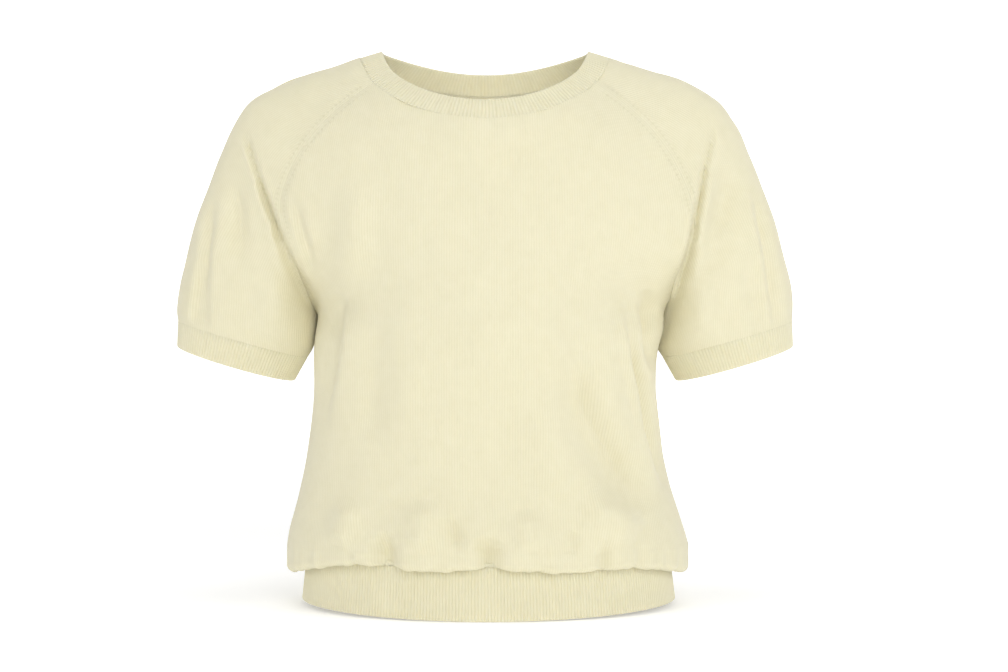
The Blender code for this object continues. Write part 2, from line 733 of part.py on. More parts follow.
def cuff(name):
    """A ribbed cuff, its upper edge just clear of the sleeve's last row."""
    upper = sleeve_ring(SLEEVE.at(1.0), SLEEVE_HALF_COLUMNS)
    lower = sleeve_ring(CUFF_EDGE, SLEEVE_HALF_COLUMNS)
    if name == "cuff_right":
        upper = mirrored(upper)
        lower = mirrored(lower)
    rings = [closed_ring(upper), closed_ring(lower)]
    outward = stacked_normals(rings)
    rings[0] = rings[0] + SEAM_GAP * unit(rings[1] - rings[0])
    return band_mesh(rings, outward, CUFF_RIBS)


def knit_material(name, colour):
    """A matt knit finish."""
    material = bpy.data.materials.new(name)
    material.use_nodes = True
    material.diffuse_color = colour
    shader = material.node_tree.nodes["Principled BSDF"]
    shader.inputs["Base Color"].default_value = colour
    shader.inputs["Roughness"].default_value = KNIT_ROUGHNESS
    shader.inputs["Metallic"].default_value = 0.0
    return material


def make_piece(name, points, faces, material, collection):
    """A named object, in metres about the origin, from points in millimetres."""
    placed = (points - vector(0.0, 0.0, ORIGIN_Z)) * MM
    mesh = bpy.data.meshes.new(name)
    mesh.from_pydata([tuple(p) for p in placed], [], [tuple(int(c) for c in f) for f in faces])
    drop_unused_points(mesh)
    mesh.shade_smooth()
    mesh.set_sharp_from_angle(angle=math.radians(SHARP_ANGLE))
    mesh.materials.append(material)
    piece = bpy.data.objects.new(name, mesh)
    collection.objects.link(piece)
    return piece


def drop_unused_points(mesh):
    """Removes the points that no face uses, where a closed ring repeats its first point."""
    used = {corner for face in mesh.polygons for corner in face.vertices}
    keep = sorted(used)
    new_place = {old: new for new, old in enumerate(keep)}
    points = [tuple(mesh.vertices[old].co) for old in keep]
    faces = [tuple(new_place[c] for c in face.vertices) for face in mesh.polygons]
    mesh.clear_geometry()
    mesh.from_pydata(points, [], faces)


def build():
    """Makes the eight pieces in their own collection."""
    for old in list(bpy.data.objects):
        bpy.data.objects.remove(old, do_unlink=True)
    collection = bpy.data.collections.new("short_sleeve_jumper")
    bpy.context.scene.collection.children.link(collection)
    knit = knit_material("plain_knit", KNIT_COLOUR)
    rib = knit_material("ribbed_knit", RIB_COLOUR)

    front, front_normals = panel_grid("front", yoke_front, ring_front, FRONT_HALF_COLUMNS)
    make_piece("front", *wall_mesh(front, front_normals), knit, collection)
    back, back_normals = panel_grid("back", yoke_back, ring_back, BACK_HALF_COLUMNS)
    make_piece("back", *wall_mesh(back, back_normals), knit, collection)
    for name in ("sleeve_left", "sleeve_right"):
        grid, normals = sleeve_grid(name)
        make_piece(name, *wall_mesh(grid, normals, YOKE_ROWS), knit, collection)
    make_piece("neck_band", *neck_band(), rib, collection)
    make_piece("hem_band", *hem_band(), rib, collection)
    for name in ("cuff_left", "cuff_right"):
        make_piece(name, *cuff(name), rib, collection)


build()
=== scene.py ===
"""The looks of a short-sleeve jumper in fine-gauge knit, in the form it has when it is worn.

Each of the eight solids is stood for by a thin shell of cloth on nearly the same form: beside
the armpits, over the arms and at the hem band's sides the cloth lies a few millimetres off the
solids' rings. The creases of the worn cloth are pressed into the shells, and a rounded rib is
raised on both faces of every band. Fashioning marks run beside the raglan seams, and a row of
linking stitches runs along the inside of the neck seam.

Sizes are in millimetres until a mesh is made. X runs to the wearer's left, the front faces -Y
and Z is up. Heights in the tables are measured from the high shoulder points, as in the
solids, and the frame's origin lies a little below them.
"""
import math
import bpy
import numpy as np
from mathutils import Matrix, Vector


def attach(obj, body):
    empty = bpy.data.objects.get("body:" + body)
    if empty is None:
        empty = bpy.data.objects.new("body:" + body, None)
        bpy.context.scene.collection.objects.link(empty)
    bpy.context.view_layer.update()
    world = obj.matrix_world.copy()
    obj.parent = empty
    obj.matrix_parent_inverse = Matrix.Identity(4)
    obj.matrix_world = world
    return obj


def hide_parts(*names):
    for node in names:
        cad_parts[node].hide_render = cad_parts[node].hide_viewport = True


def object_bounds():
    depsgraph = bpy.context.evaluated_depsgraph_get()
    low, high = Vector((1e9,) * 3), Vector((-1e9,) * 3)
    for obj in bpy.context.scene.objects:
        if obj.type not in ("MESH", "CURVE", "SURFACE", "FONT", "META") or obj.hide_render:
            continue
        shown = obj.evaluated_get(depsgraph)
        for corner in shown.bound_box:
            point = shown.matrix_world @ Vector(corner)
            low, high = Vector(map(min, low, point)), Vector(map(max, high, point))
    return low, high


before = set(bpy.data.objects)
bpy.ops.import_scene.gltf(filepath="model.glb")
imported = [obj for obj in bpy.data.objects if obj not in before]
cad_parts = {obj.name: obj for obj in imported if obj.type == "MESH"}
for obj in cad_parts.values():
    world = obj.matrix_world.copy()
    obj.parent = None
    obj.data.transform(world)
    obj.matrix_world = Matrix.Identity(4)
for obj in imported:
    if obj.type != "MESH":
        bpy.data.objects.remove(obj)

CAD_LOW, CAD_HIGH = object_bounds()

MM = 0.001
ORIGIN_Z = -20.0  # the origin's height, measured from the high shoulder points
NECKLINE = -0.08  # yoke position of the neckline's edge; the neck seam is at 0
UNDERARM = 1.0  # yoke position of the underarm

CLOTH = 1.6  # thickness of the plain knit
SEAM_GAP = 0.06  # between neighbouring pieces
SEAM_TUCK = 0.05  # how far a piece's edge turns in at a seam
SEAM_REACH = 2.5  # how far from the seam it starts to turn

# How finely each piece is divided.
HALF_COLUMNS = {"front": 108, "back": 104, "sleeve": 104}
YOKE_ROWS = 96
BODY_ROWS = 84
SLEEVE_ROWS = 26
ROLL_DROP_ROWS = 6
ROLL_STEPS = 22

# The ribs, counted round each band.
HEM_RIBS = 316
NECK_RIBS = 190
CUFF_RIBS = 116
RIB_STEPS = 8  # points round each rib
RIB_DEPTH = 0.42
RIB_ROUNDNESS = 0.8  # below 1 the ribs are wide and the hollows between them narrow
BAND_WALL = 2.6
BAND_ROWS = 8
RIM_STEPS = 5
FREE_RIM = 1.3  # how far a band's free edge takes to round over
SEAM_RIM = 0.12

# The hem band hangs inside the rolled lower edge of the body.
HEM_WAIST = 3.4  # how far the band's sides are drawn in below the roll
HEM_WAIST_FROM = 0.16  # the share of the band's depth where that begins in full
HEM_TOP = {
    "half": 175.0, "sway": 3.0, "side_y": 2.0, "side_z": -471.0, "centre_share": 0.57,
    "side_share": 0.58, "front_y": -117.0, "front_z": -471.0, "back_y": 101.0, "back_z": -471.0,
}
HEM_EDGE = {
    "half": 177.0, "sway": 3.5, "side_y": 2.0, "side_z": -518.0, "centre_share": 0.56,
    "side_share": 0.57, "front_y": -119.0, "front_z": -523.0, "back_y": 103.0, "back_z": -521.0,
}
ROLL_STANDOFF = 1.4  # the roll's inner leg leans this far out from the band

# Each sleeve's middle, front to back, and its cuff's lower edge, seen from the front.
SLEEVE_Y = 8.0
CUFF_EDGE = {
    "inner_x": 182.0, "inner_z": -312.5, "outer_x": 293.5, "outer_z": -279.5,
    "front": 41.0, "back": 41.0, "dip": 3.0, "inner_share": 1.3333, "outer_share": 1.3333,
}

# The knit: one wale is a column of stitches, one course a row of them.
WALE = 2.35
COURSE = 2.1
RIB_PITCH = 3.2  # a rib's width in the material; the ribs themselves are counted
RIB_COURSE = 1.6
FASHIONED = 7.0  # this close to a raglan seam, the wales run beside the seam
FASHIONED_FADE = 3.0  # rows below the underarm in which that comes to an end
YARN = (0.840, 0.798, 0.603)
# The yarn's darkest colour, reached where its mottle is dark and where painted shade darkens the
# hollows between the stitches and ribs.
YARN_MOTTLE_AND_PAINTED_SHADE = (0.700, 0.655, 0.440)

FINE_ARC = 81  # an arc is measured in this many places


class Table:
    """Rows of named columns, read between the rows on a smooth curve."""

    def __init__(self, columns, *rows):
        self.columns = columns.split()
        values = np.array(rows, dtype=float)
        self.knots = values[:, 0]
        self.data = values[:, 1:]
        steps = np.diff(self.knots)[:, None]
        secants = np.diff(self.data, axis=0) / steps
        slopes = np.zeros_like(self.data)
        weights = steps[:-1] + steps[1:]
        slopes[1:-1] = (steps[1:] * secants[:-1] + steps[:-1] * secants[1:]) / weights
        slopes[0] = 1.5 * secants[0] - 0.5 * slopes[1]
        slopes[-1] = 1.5 * secants[-1] - 0.5 * slopes[-2]
        self.slopes = slopes

    def at(self, where):
        """A dictionary of the columns, where the first column has this value."""
        last = len(self.knots) - 2
        row = int(np.clip(np.searchsorted(self.knots, where) - 1, 0, last))
        step = self.knots[row + 1] - self.knots[row]
        s = (where - self.knots[row]) / step
        value = (
            (2 * s**3 - 3 * s**2 + 1) * self.data[row]
            + (s**3 - 2 * s**2 + s) * step * self.slopes[row]
            + (3 * s**2 - 2 * s**3) * self.data[row + 1]
            + (s**3 - s**2) * step * self.slopes[row + 1]
        )
        return dict(zip(self.columns[1:], value))


# The yoke, for the wearer's left half. t runs from the neckline's edge through the neck seam
# at 0 to the underarm at 1.
FRONT_CENTRE = Table(
    "t      y     z",
    (-0.08, -72, -54),
    (0.00, -83, -73),
    (0.25, -95, -122),
    (0.50, -106, -170),
    (0.75, -118, -216),
    (1.00, -124, -260),
)
FRONT_RAGLAN = Table(
    "t      x      y      z",
    (-0.08, 85, -33.5, -23.5),
    (0.00, 103, -39, -35),
    (0.16, 137, -50, -62),
    (0.26, 155, -55, -81),
    (0.40, 176, -58, -113),
    (0.53, 187, -58, -148),
    (0.66, 182, -50, -181),
    (0.80, 172, -31, -214),
    (1.00, 159, 8, -252),
)
OVERARM = Table(
    "t      x      y    z",
    (-0.08, 98, 5, 1),
    (0.00, 119, 5, -5.5),
    (0.10, 147, 5, -15),
    (0.20, 175, 5, -23),
    (0.30, 202, 5, -34),
    (0.39, 225, 5, -50),
    (0.47, 241, 6, -72),
    (0.55, 251.5, 6, -97),
    (0.65, 262, 7, -125),
    (0.75, 272, 7, -151),
    (0.85, 281, 8, -179),
    (1.00, 291, 8, -216),
)
BACK_RAGLAN = Table(
    "t      x      y     z",
    (-0.08, 85, 32.5, -1.5),
    (0.00, 103, 38, -14),
    (0.18, 139, 51, -46),
    (0.40, 172, 62, -98),
    (0.58, 184, 62, -145),
    (0.74, 178, 50, -187),
    (0.87, 168, 31, -220),
    (1.00, 159, 8, -252),
)
BACK_CENTRE = Table(
    "t      y    z",
    (-0.08, 60, -13),
    (0.00, 71, -33),
    (0.25, 88, -85),
    (0.50, 98, -140),
    (0.75, 101, -197),
    (1.00, 99, -252),
)

# The direction a ring takes as it crosses the front raglan seam: degrees from +X towards +Y
# on the body's side and on the sleeve's side, and its rise. Where the two sides differ the
# cloth creases, down to the underarm, where the sleeve doubles back beside the body.
TURN = Table(
    "t      body  sleeve  front_rise  back_rise",
    (-0.08, 53, 53, 31, 5),
    (0.00, 52, 52, 32, 13),
    (0.20, 42, 42, 33, 26),
    (0.40, 34, 31, 30, 30),
    (0.55, 37, 24, 20, 24),
    (0.70, 42, 0, 8, 12),
    (0.85, 54, -48, 2, 4),
    (1.00, 78, -88, 0, 0),
)

# The lengths of the arcs' handles.
HANDLES = Table(
    "t      centre  front_body  back_body  sleeve  overarm",
    (-0.08, 36, 33, 33, 14, 14),
    (0.00, 43, 40, 38, 17, 19),
    (0.20, 55, 52, 50, 26, 28),
    (0.40, 68, 60, 56, 36, 36),
    (0.55, 80, 48, 46, 38, 40),
    (0.70, 90, 36, 34, 50, 43),
    (0.85, 94, 52, 38, 69, 47),
    (1.00, 95.4, 81.8, 56.4, 79, 52),
)

# The body from the underarm at 0 to the fullest line of the blouse at 1.
BODY = Table(
    "w     half   sway  side_y  side_z  centre_share  side_share  front_y  front_z  back_y  back_z",
    (0.00, 159, 0, 8, -252, 0.60, 0.62, -124, -260, 99, -252),
    (0.12, 161.5, 0, 7, -278, 0.60, 0.62, -123, -284, 96, -278),
    (0.35, 162, 0, 4, -330, 0.59, 0.61, -117, -333, 88, -330),
    (0.56, 168, 0, 2, -377, 0.58, 0.60, -114, -378, 88, -377),
    (0.77, 178, 0.5, 2, -422, 0.58, 0.59, -119, -421, 97, -422),
    (0.90, 186, 1.5, 2, -450, 0.57, 0.58, -127, -447, 108, -450),
    (1.00, 189.5, 2.5, 2, -467, 0.57, 0.58, -130, -463, 113, -465),
)

# The lowest line of the rolled edge, from the wearer's right side seam to the left.
ROLL_BOTTOM = Table(
    "u     front   back",
    (-1.00, -492, -492),
    (-0.92, -491, -491.5),
    (-0.75, -484.5, -486),
    (-0.50, -475.5, -480),
    (-0.20, -478.5, -482),
    (0.00, -476.5, -478),
    (0.30, -480.5, -481),
    (0.55, -479.5, -479),
    (0.75, -485.5, -486),
    (0.92, -491.5, -491.5),
    (1.00, -492.5, -492.5),
)

# A sleeve below the underarm: its inner and outer edges seen from the front, and its depth.
SLEEVE = Table(
    "s     inner_x  inner_z  outer_x  outer_z  front  back  dip  inner_share  outer_share",
    (0.00, 159, -252, 291, -216, 48, 48, 0, 1.646, 1.083),
    (0.50, 162.2, -274.5, 293, -236, 47, 47, 1, 1.520, 1.180),
    (1.00, 169.5, -290, 292.5, -255, 44, 44, 2, 1.3333, 1.3333),
)

# The creases of each piece, drawn on the front or back view. Each runs through three points
# and is as deep as given at each of them; a negative depth is a ridge. Looking along it, it is
# this wide on its right and on its left, so that one side can be steeper than the other.
FOLD_COLUMNS = "x0 z0 x1 z1 x2 z2 depth0 depth1 depth2 right left".split()
FOLDS = {
    # What fans out over each sleeve from the crease beside the body.
    ("sleeve_left", "front"): (
        (248, -132, 262, -186, 273, -264, 0, 5, 3, 4, 6),
        (232, -118, 222, -150, 215, -184, 0, 6, 0, 10, 12),
        (214, -176, 208, -208, 200, -246, 0, 4.5, 0, 10, 10),
        (246, -196, 250, -226, 256, -262, 0, 3.5, 2, 9, 9),
        (210, -176, 202, -214, 190, -256, 0, -3, 0, 12, 16),
    ),
    ("sleeve_right", "front"): (
        (-254, -142, -260, -196, -263, -264, 0, 5, 3, 5, 5),
        (-265, -200, -269, -232, -271, -264, 0, 4, 2, 4, 4),
        (-234, -126, -229, -162, -224, -200, 0, 5.5, 0, 8, 8),
        (-204, -184, -194, -220, -184, -256, 0, -3, 0, 16, 12),
    ),
    # From the armpits down the front.
    ("front", "front"): (
        (-174, -146, -167, -176, -157, -214, 0, 3.6, 0, 4, 5),
        (-131, -232, -138, -284, -151, -362, 0, 7, 0, 14, 6),
        (-120, -126, -117, -176, -121, -236, 0, -5.6, 0, 16, 14),
        (-97, -236, -99, -300, -106, -372, 0, 5.6, 0, 14, 16),
        (127, -250, 147, -332, 170, -414, 0, 12.6, 0, 5, 5),
        (121, -236, 134, -296, 148, -352, 0, -5.6, 0, 5, 5),
        (150, -226, 153, -262, 154, -302, 0, 9.8, 0, 7, 7),
        (86, -250, 92, -300, 99, -344, 0, 5.6, 0, 14, 14),
        (74, -284, 105, -362, 155, -429, 0, 11.5, 0, 17, 12),
        (82, -206, 76, -250, 80, -300, 0, 3, 0, 16, 14),
        (84, -426, 112, -434, 142, -450, 0, -12, 0, 18, 16),
        (50, -330, 56, -372, 70, -418, 0, -5.6, 0, 16, 16),
        # Gathers that rise from the hem band.
        (-91, -444, -89, -457, -88, -476, 0, 6, 6, 7, 7),
        (-90, -450, -88, -464, -87, -478, 0, 8, 8, 13, 13),
        (-32, -430, -26, -444, -20, -460, 0, 4.5, 0, 6, 6),
        (2, -444, 4, -457, 5, -476, 0, 6, 6, 7, 7),
        (4, -449, 4, -463, 5, -478, 0, 8, 8, 13, 13),
        (78, -442, 78, -454, 78, -468, 0, 5, 0, 7, 6),
        (114, -454, 106, -466, 100, -477, 0, 5, 8, 5, 7),
        (-52, -416, -54, -440, -56, -466, 0, -9, 0, 16, 16),
        (-118, -416, -124, -440, -130, -460, 0, -7, 0, 14, 12),
        (36, -424, 40, -444, 44, -460, 0, -7, 0, 12, 12),
        (-124, -460, -122, -470, -120, -480, 0, 2, 5, 5, 5),
        (146, -460, 142, -470, 138, -482, 0, 2, 4, 5, 5),
        (54, -460, 52, -470, 50, -478, 0, 2, 4, 5, 5),
    ),
    # The back, which hangs closer at the waist.
    ("back", "back"): (
        (-150, -160, -140, -195, -118, -240, 0, 6, 0, 13, 11),
        (152, -150, 140, -190, 124, -230, 0, 6, 0, 11, 12),
        (120, -236, 134, -300, 150, -360, 0, 9, 0, 11, 9),
        (98, -262, 108, -310, 124, -352, 0, 4.5, 0, 9, 12),
        (-128, -240, -138, -296, -152, -342, 0, 7.5, 0, 9, 10),
        (-100, -250, -106, -290, -118, -330, 0, 3.75, 0, 12, 9),
        (-96, -350, -60, -400, -20, -440, 0, 7.5, 0, 20, 16),
        (20, -392, 52, -418, 92, -436, 0, 4.5, 0, 14, 18),
        (56, -440, 52, -458, 48, -477, 0, 6, 13, 9, 10),
        (12, -450, 8, -462, 6, -476, 0, 3, 3, 6, 7),
        (-30, -448, -26, -462, -24, -477, 0, 3, 3, 7, 6),
        (-68, -440, -64, -460, -60, -478, 0, 6, 14, 10, 9),
        (110, -446, 104, -462, 98, -478, 0, 4, 8, 7, 7),
        (-118, -450, -112, -464, -106, -478, 0, 3, 3, 7, 8),
    ),
    ("sleeve_left", "back"): (
        (254, -146, 262, -195, 270, -252, 0, 6, 1.5, 10, 10),
        (232, -150, 230, -186, 226, -222, 0, 3.75, 0, 12, 12),
    ),
    ("sleeve_right", "back"): (
        (-242, -126, -237, -180, -228, -238, 0, 4.5, 1.5, 11, 11),
        (-266, -176, -271, -214, -274, -252, 0, 4.5, 3, 9, 9),
    ),
}
# Creases drawn the same way, that run across a raglan seam. The cloth is pushed straight
# back, whichever piece it belongs to.
CROSSINGS = {
    "front": (
        (215, -72, 208, -98, 202, -122, 0, 4, 6, 2.6, 2.8),
        (202, -122, 197, -148, 192, -174, 6, 8, 8, 3, 4.2),
        (192, -174, 187, -200, 181, -228, 8, 8, 4, 3.2, 4.8),
        (181, -228, 176, -250, 169, -272, 4, 2, 0, 3.4, 5),
        (-225, -80, -215, -106, -206, -131, 0, 5, 7, 2.8, 2.8),
        (-206, -131, -197, -154, -189, -176, 7, 9, 9, 3.8, 3),
        (-189, -176, -176, -207, -161, -240, 9, 7, 2, 5, 3.3),
    ),
    "back": (
        (212, -96, 201, -138, 186, -184, 0, 7, 8, 6, 4),
        (186, -184, 178, -212, 166, -244, 8, 7, 0, 8, 5),
        (-210, -92, -202, -128, -190, -170, 0, 6, 8, 4, 6),
        (-190, -170, -180, -204, -165, -242, 8, 7, 0, 5, 9),
    ),
}
# Places where the cloth stands out beside the arm: how wide and high each is, and how far
# it goes outward, away from the middle, and forward.
SHIFT_COLUMNS = "x z wide high outward forward".split()
SHIFTS = (
    (183, -192, 26, 46, 8.0, 5.0),
    (168, -252, 22, 26, 11.0, 6.0),
    (200, -238, 18, 34, 0.0, 8.0),
    (-180, -200, 22, 40, 0.0, 5.0),
    (-192, -240, 18, 34, 0.0, 8.0),
)
FRONT_ENDS = 14.0  # what is done to the front fades out at this depth
FRONT_FADE = 26.0

FOLD_SHOULDER = 0.2  # the cloth pushed up beside a trough, as a share of its depth
SHOULDER_AT = 2.0  # where that lies, in half widths from the trough's middle
FOLD_STATIONS = (0.0, 0.3, 0.7, 1.0)  # where along a fold its depths are given
FOLD_PIECES = 16  # straight pieces in a fold's path
FOLD_REACH = 4.0  # how far off a fold is felt, in its own half widths
SEAM_CALM = 11.0  # folds die out this close to a seam
SETTLE_ROWS = 7.0  # the rows eased together either side of the underarm
SETTLE_ROUNDS = 60
SETTLE_SHARE = 0.5  # how far a row moves to its neighbours' middle in one round
SETTLE_EDGE = 26.0  # no row is eased this close to its ends
FACING = 0.25  # how squarely a point faces front or back to take a whole fold

# Soft unevenness all over: each row a wave's height, its lengths across and down, its phase.
WAVES = (
    (0.55, 148.0, 233.0, 0.4),
    (0.45, -97.0, 171.0, 2.1),
    (0.35, 61.0, -118.0, 4.4),
    (0.25, -43.0, -79.0, 1.3),
)
# The puckers where the body is gathered on to its band: height, how many round, phase.
PUCKERS = (
    (0.50, 31.0, 0.9),
    (0.40, 53.0, 2.6),
    (0.30, 83.0, 5.1),
)
GATHER_FOOT = -472.0  # a fold that ends below this is one of the hem's gathers
GATHER_LIFT = 0.15  # how far it lifts the rolled edge, as a share of its depth
PUCKER_REACH = 34.0  # how far above the roll's lowest line they begin
PUCKER_INSIDE = 0.25  # what is left of them on the roll's inner leg


def vector(x, y, z):
    """A point or direction."""
    return np.array((x, y, z), dtype=float)


LEFT = vector(1.0, 0.0, 0.0)
BACKWARD = vector(0.0, 1.0, 0.0)
TURNED = vector(1.0, -1.0, -1.0)  # takes a ring's direction to the other side


def unit(v):
    """The same directions, of length one."""
    return v / np.maximum(np.linalg.norm(v, axis=-1, keepdims=True), 1e-12)


def mirrored(points):
    """The same ring stretch on the wearer's other side, still running the same way round."""
    return points[::-1] * vector(-1.0, 1.0, 1.0)


def joined(first, second):
    """Two stretches as one, where the second begins at the first one's end."""
    return np.concatenate((first, second[1:]))


def smooth(value):
    """0 below 0, 1 above 1, and a smooth step between."""
    s = np.clip(value, 0.0, 1.0)
    return s * s * (3.0 - 2.0 * s)


def run_along(points, axis=0):
    """How far each point is along its line, from the line's first point."""
    steps = np.linalg.norm(np.diff(points, axis=axis), axis=-1)
    zero = np.zeros_like(np.take(steps, [0], axis=axis))
    return np.concatenate((zero, np.cumsum(steps, axis=axis)), axis=axis)


def cubic(controls, s):
    """Points of the cubic Bezier curve with these controls."""
    s = s[:, None]
    a, b, c, d = controls
    return (1 - s) ** 3 * a + 3 * (1 - s) ** 2 * s * b + 3 * (1 - s) * s**2 * c + s**3 * d


def arc(start, leave, handle_start, end, arrive, handle_end, count):
    """count + 1 points, evenly spaced along one cubic arc."""
    controls = (start, start + leave * handle_start, end - arrive * handle_end, end)
    s = np.linspace(0.0, 1.0, FINE_ARC)
    run = run_along(cubic(controls, s))
    return cubic(controls, np.interp(np.linspace(0.0, run[-1], count + 1), run, s))


def heading(degrees, rise):
    """The direction this many degrees from +X towards +Y, rising by this many degrees."""
    flat = math.cos(math.radians(rise))
    return vector(
        flat * math.cos(math.radians(degrees)),
        flat * math.sin(math.radians(degrees)),
        math.sin(math.radians(rise)),
    )


def seam_headings(t):
    """A ring's directions at the left raglan seams, in ring order, on each side of each."""
    turn = TURN.at(t)
    return {
        "front_body": heading(turn["body"], turn["front_rise"]),
        "front_sleeve": heading(turn["sleeve"], turn["front_rise"]),
        "back_sleeve": heading(180.0 - turn["sleeve"], -turn["back_rise"]),
        "back_body": heading(180.0 - turn["body"], -turn["back_rise"]),
    }


def raglan_points(t):
    """The left front and back raglan seams at t, and the way across each, body to sleeve."""
    head = seam_headings(t)
    return (
        vector(*FRONT_RAGLAN.at(t).values()),
        unit(head["front_body"] + head["front_sleeve"]),
        vector(*BACK_RAGLAN.at(t).values()),
        -unit(head["back_body"] + head["back_sleeve"]),
    )


def body_row(name, centre, centre_handle, side, forward, side_handle):
    """One row of the front or back in ring order, from its middle and its left side.

    forward is the row's direction at that side, and each point has its arc's handle.
    """
    if name == "front":
        half = arc(centre, LEFT, centre_handle, side, forward, side_handle, HALF_COLUMNS[name])
        return joined(mirrored(half), half)
    half = arc(side, forward, side_handle, centre, -LEFT, centre_handle, HALF_COLUMNS[name])
    return joined(half, mirrored(half))


def yoke_row(name, t):
    """One row of the front or back above the underarm."""
    handle = HANDLES.at(t)
    centre, points = FRONT_CENTRE, raglan_points(t)[:2]
    if name == "back":
        centre, points = BACK_CENTRE, raglan_points(t)[2:]
    seam, across = points
    return body_row(
        name, vector(0.0, *centre.at(t).values()), handle["centre"],
        seam - across * SEAM_GAP / 2, seam_headings(t)[name + "_body"], handle[name + "_body"],
    )


def ring_row(name, row):
    """The front or back half of a ring round the body."""
    sign = -1.0 if name == "front" else 1.0
    depth = sign * (row[name + "_y"] - row["side_y"])
    half = body_row(
        name, vector(0.0, row[name + "_y"], row[name + "_z"]), row["centre_share"] * row["half"],
        vector(row["half"], row["side_y"] + sign * SEAM_GAP / 2, row["side_z"]), BACKWARD,
        row["side_share"] * depth,
    )
    return half + vector(row["sway"], 0.0, 0.0)


def yoke_sleeve(t):
    """One row of the left sleeve above the underarm, from its front seam to its back seam."""
    handle = HANDLES.at(t)
    head = seam_headings(t)
    top = vector(*OVERARM.at(t).values())
    front, front_across, back, back_across = raglan_points(t)
    fore = arc(
        front + front_across * SEAM_GAP / 2, head["front_sleeve"], handle["sleeve"],
        top, BACKWARD, handle["overarm"], HALF_COLUMNS["sleeve"],
    )
    rear = arc(
        top, BACKWARD, handle["overarm"],
        back + back_across * SEAM_GAP / 2, head["back_sleeve"], handle["sleeve"],
        HALF_COLUMNS["sleeve"],
    )
    return joined(fore, rear)


def sleeve_ring(row):
    """One closed row of the left sleeve, from its underarm line, forward and round."""
    inner = vector(row["inner_x"], SLEEVE_Y, row["inner_z"])
    outer = vector(row["outer_x"], SLEEVE_Y, row["outer_z"])
    fore = vector(0.0, -1.0, -row["dip"] / row["front"])
    front = arc(
        inner, fore, row["inner_share"] * row["front"],
        outer, -fore, row["outer_share"] * row["front"], HALF_COLUMNS["sleeve"],
    )
    back = arc(
        outer, BACKWARD, row["outer_share"] * row["back"],
        inner, -BACKWARD, row["inner_share"] * row["back"], HALF_COLUMNS["sleeve"],
    )
    return joined(front, back)


def grid_normals(grid, first, last, above, closed_from=None, below=None):
    """Outward directions at a grid's points, whose rows run down and columns round.

    first and last are the rows' own directions at the grid's two sides, where it is open.
    Rows from closed_from on are closed rings. above and below are rows of the next pieces.
    """
    down = np.gradient(grid, axis=0)
    down[0] = grid[1] - above
    if below is not None:
        down[-1] = below - grid[-1]
    along = np.gradient(grid, axis=1)
    open_rows = len(grid)
    if closed_from is not None:
        open_rows = closed_from
        wrap = grid[closed_from:, 1] - grid[closed_from:, -2]
        along[closed_from:, 0] = wrap
        along[closed_from:, -1] = wrap
    along[:open_rows, 0] = first[:open_rows]
    along[:open_rows, -1] = last[:open_rows]
    normals = unit(np.cross(down, along))
    if closed_from is not None:
        joint = unit(normals[closed_from, 0] + normals[closed_from, -1])
        normals[closed_from, 0] = joint
        normals[closed_from, -1] = joint
    return normals


def fold_path(fold):
    """A smooth flat path through a fold's three points, as x and z."""
    a, b, c = (np.array((fold["x" + k], fold["z" + k]), dtype=float) for k in "012")
    s = np.linspace(0.0, 1.0, FOLD_PIECES + 1)[:, None]
    middle = 2 * b - (a + c) / 2
    return (1 - s) ** 2 * a + 2 * (1 - s) * s * middle + s**2 * c


def fold_depth(points, fold):
    """How deep one fold's trough is at these points, seen along Y."""
    path = fold_path(fold)
    start = path[:-1]
    step = path[1:] - start
    flat = points[:, None, :][..., (0, 2)] - start[None]
    share = np.clip((flat * step).sum(-1) / (step * step).sum(-1), 0.0, 1.0)
    away = flat - share[..., None] * step
    apart = np.linalg.norm(away, axis=-1)
    nearest = apart.argmin(axis=1)
    pick = np.arange(len(points))
    side = (step[nearest, 0] * away[pick, nearest, 1] - step[nearest, 1] * away[pick, nearest, 0])
    width = np.where(side > 0.0, fold["left"], fold["right"])
    along = (nearest + share[pick, nearest]) / len(step)
    off = apart[pick, nearest] / width
    depths = (fold["depth0"], fold["depth1"], fold["depth1"], fold["depth2"])
    depth = np.interp(along, FOLD_STATIONS, depths)
    trough = np.exp(-off**2)
    shoulder = FOLD_SHOULDER * np.exp(-((off - SHOULDER_AT) ** 2))
    return depth * (trough - shoulder)


def folds_of(name):
    """One piece's folds, each with the side that it is drawn on."""
    return [
        (side, dict(zip(FOLD_COLUMNS, row)))
        for (piece, side), rows in FOLDS.items() if piece == name
        for row in rows
    ]


def near_fold(points, fold):
    """Which points are close enough to a fold to feel it, seen along Y."""
    reach = FOLD_REACH * max(fold["right"], fold["left"])
    path = fold_path(fold)
    flat = points[:, (0, 2)]
    inside = (flat > path.min(axis=0) - reach) & (flat < path.max(axis=0) + reach)
    return np.all(inside, axis=1)


def folded(name, grid, normals, calm):
    """The grid with the creases and waves of this piece in it; calm is 0 where it stays put."""
    points = grid.reshape(-1, 3)
    normals = normals.reshape(-1, 3)
    facing = normals[:, 1]
    total = np.zeros(len(points))
    for side, fold in folds_of(name):
        towards = -facing if side == "front" else facing
        near = near_fold(points, fold) & (towards > 0.0)
        total[near] += fold_depth(points[near], fold) * smooth(towards[near] / FACING)
    for height, across, down, phase in WAVES:
        turn = np.sign(facing) * points[:, 0] / across + points[:, 2] / down
        total += height * np.sin(2 * math.pi * turn + phase)
    moved = points - normals * (total * calm.reshape(-1))[:, None]
    return moved.reshape(grid.shape)


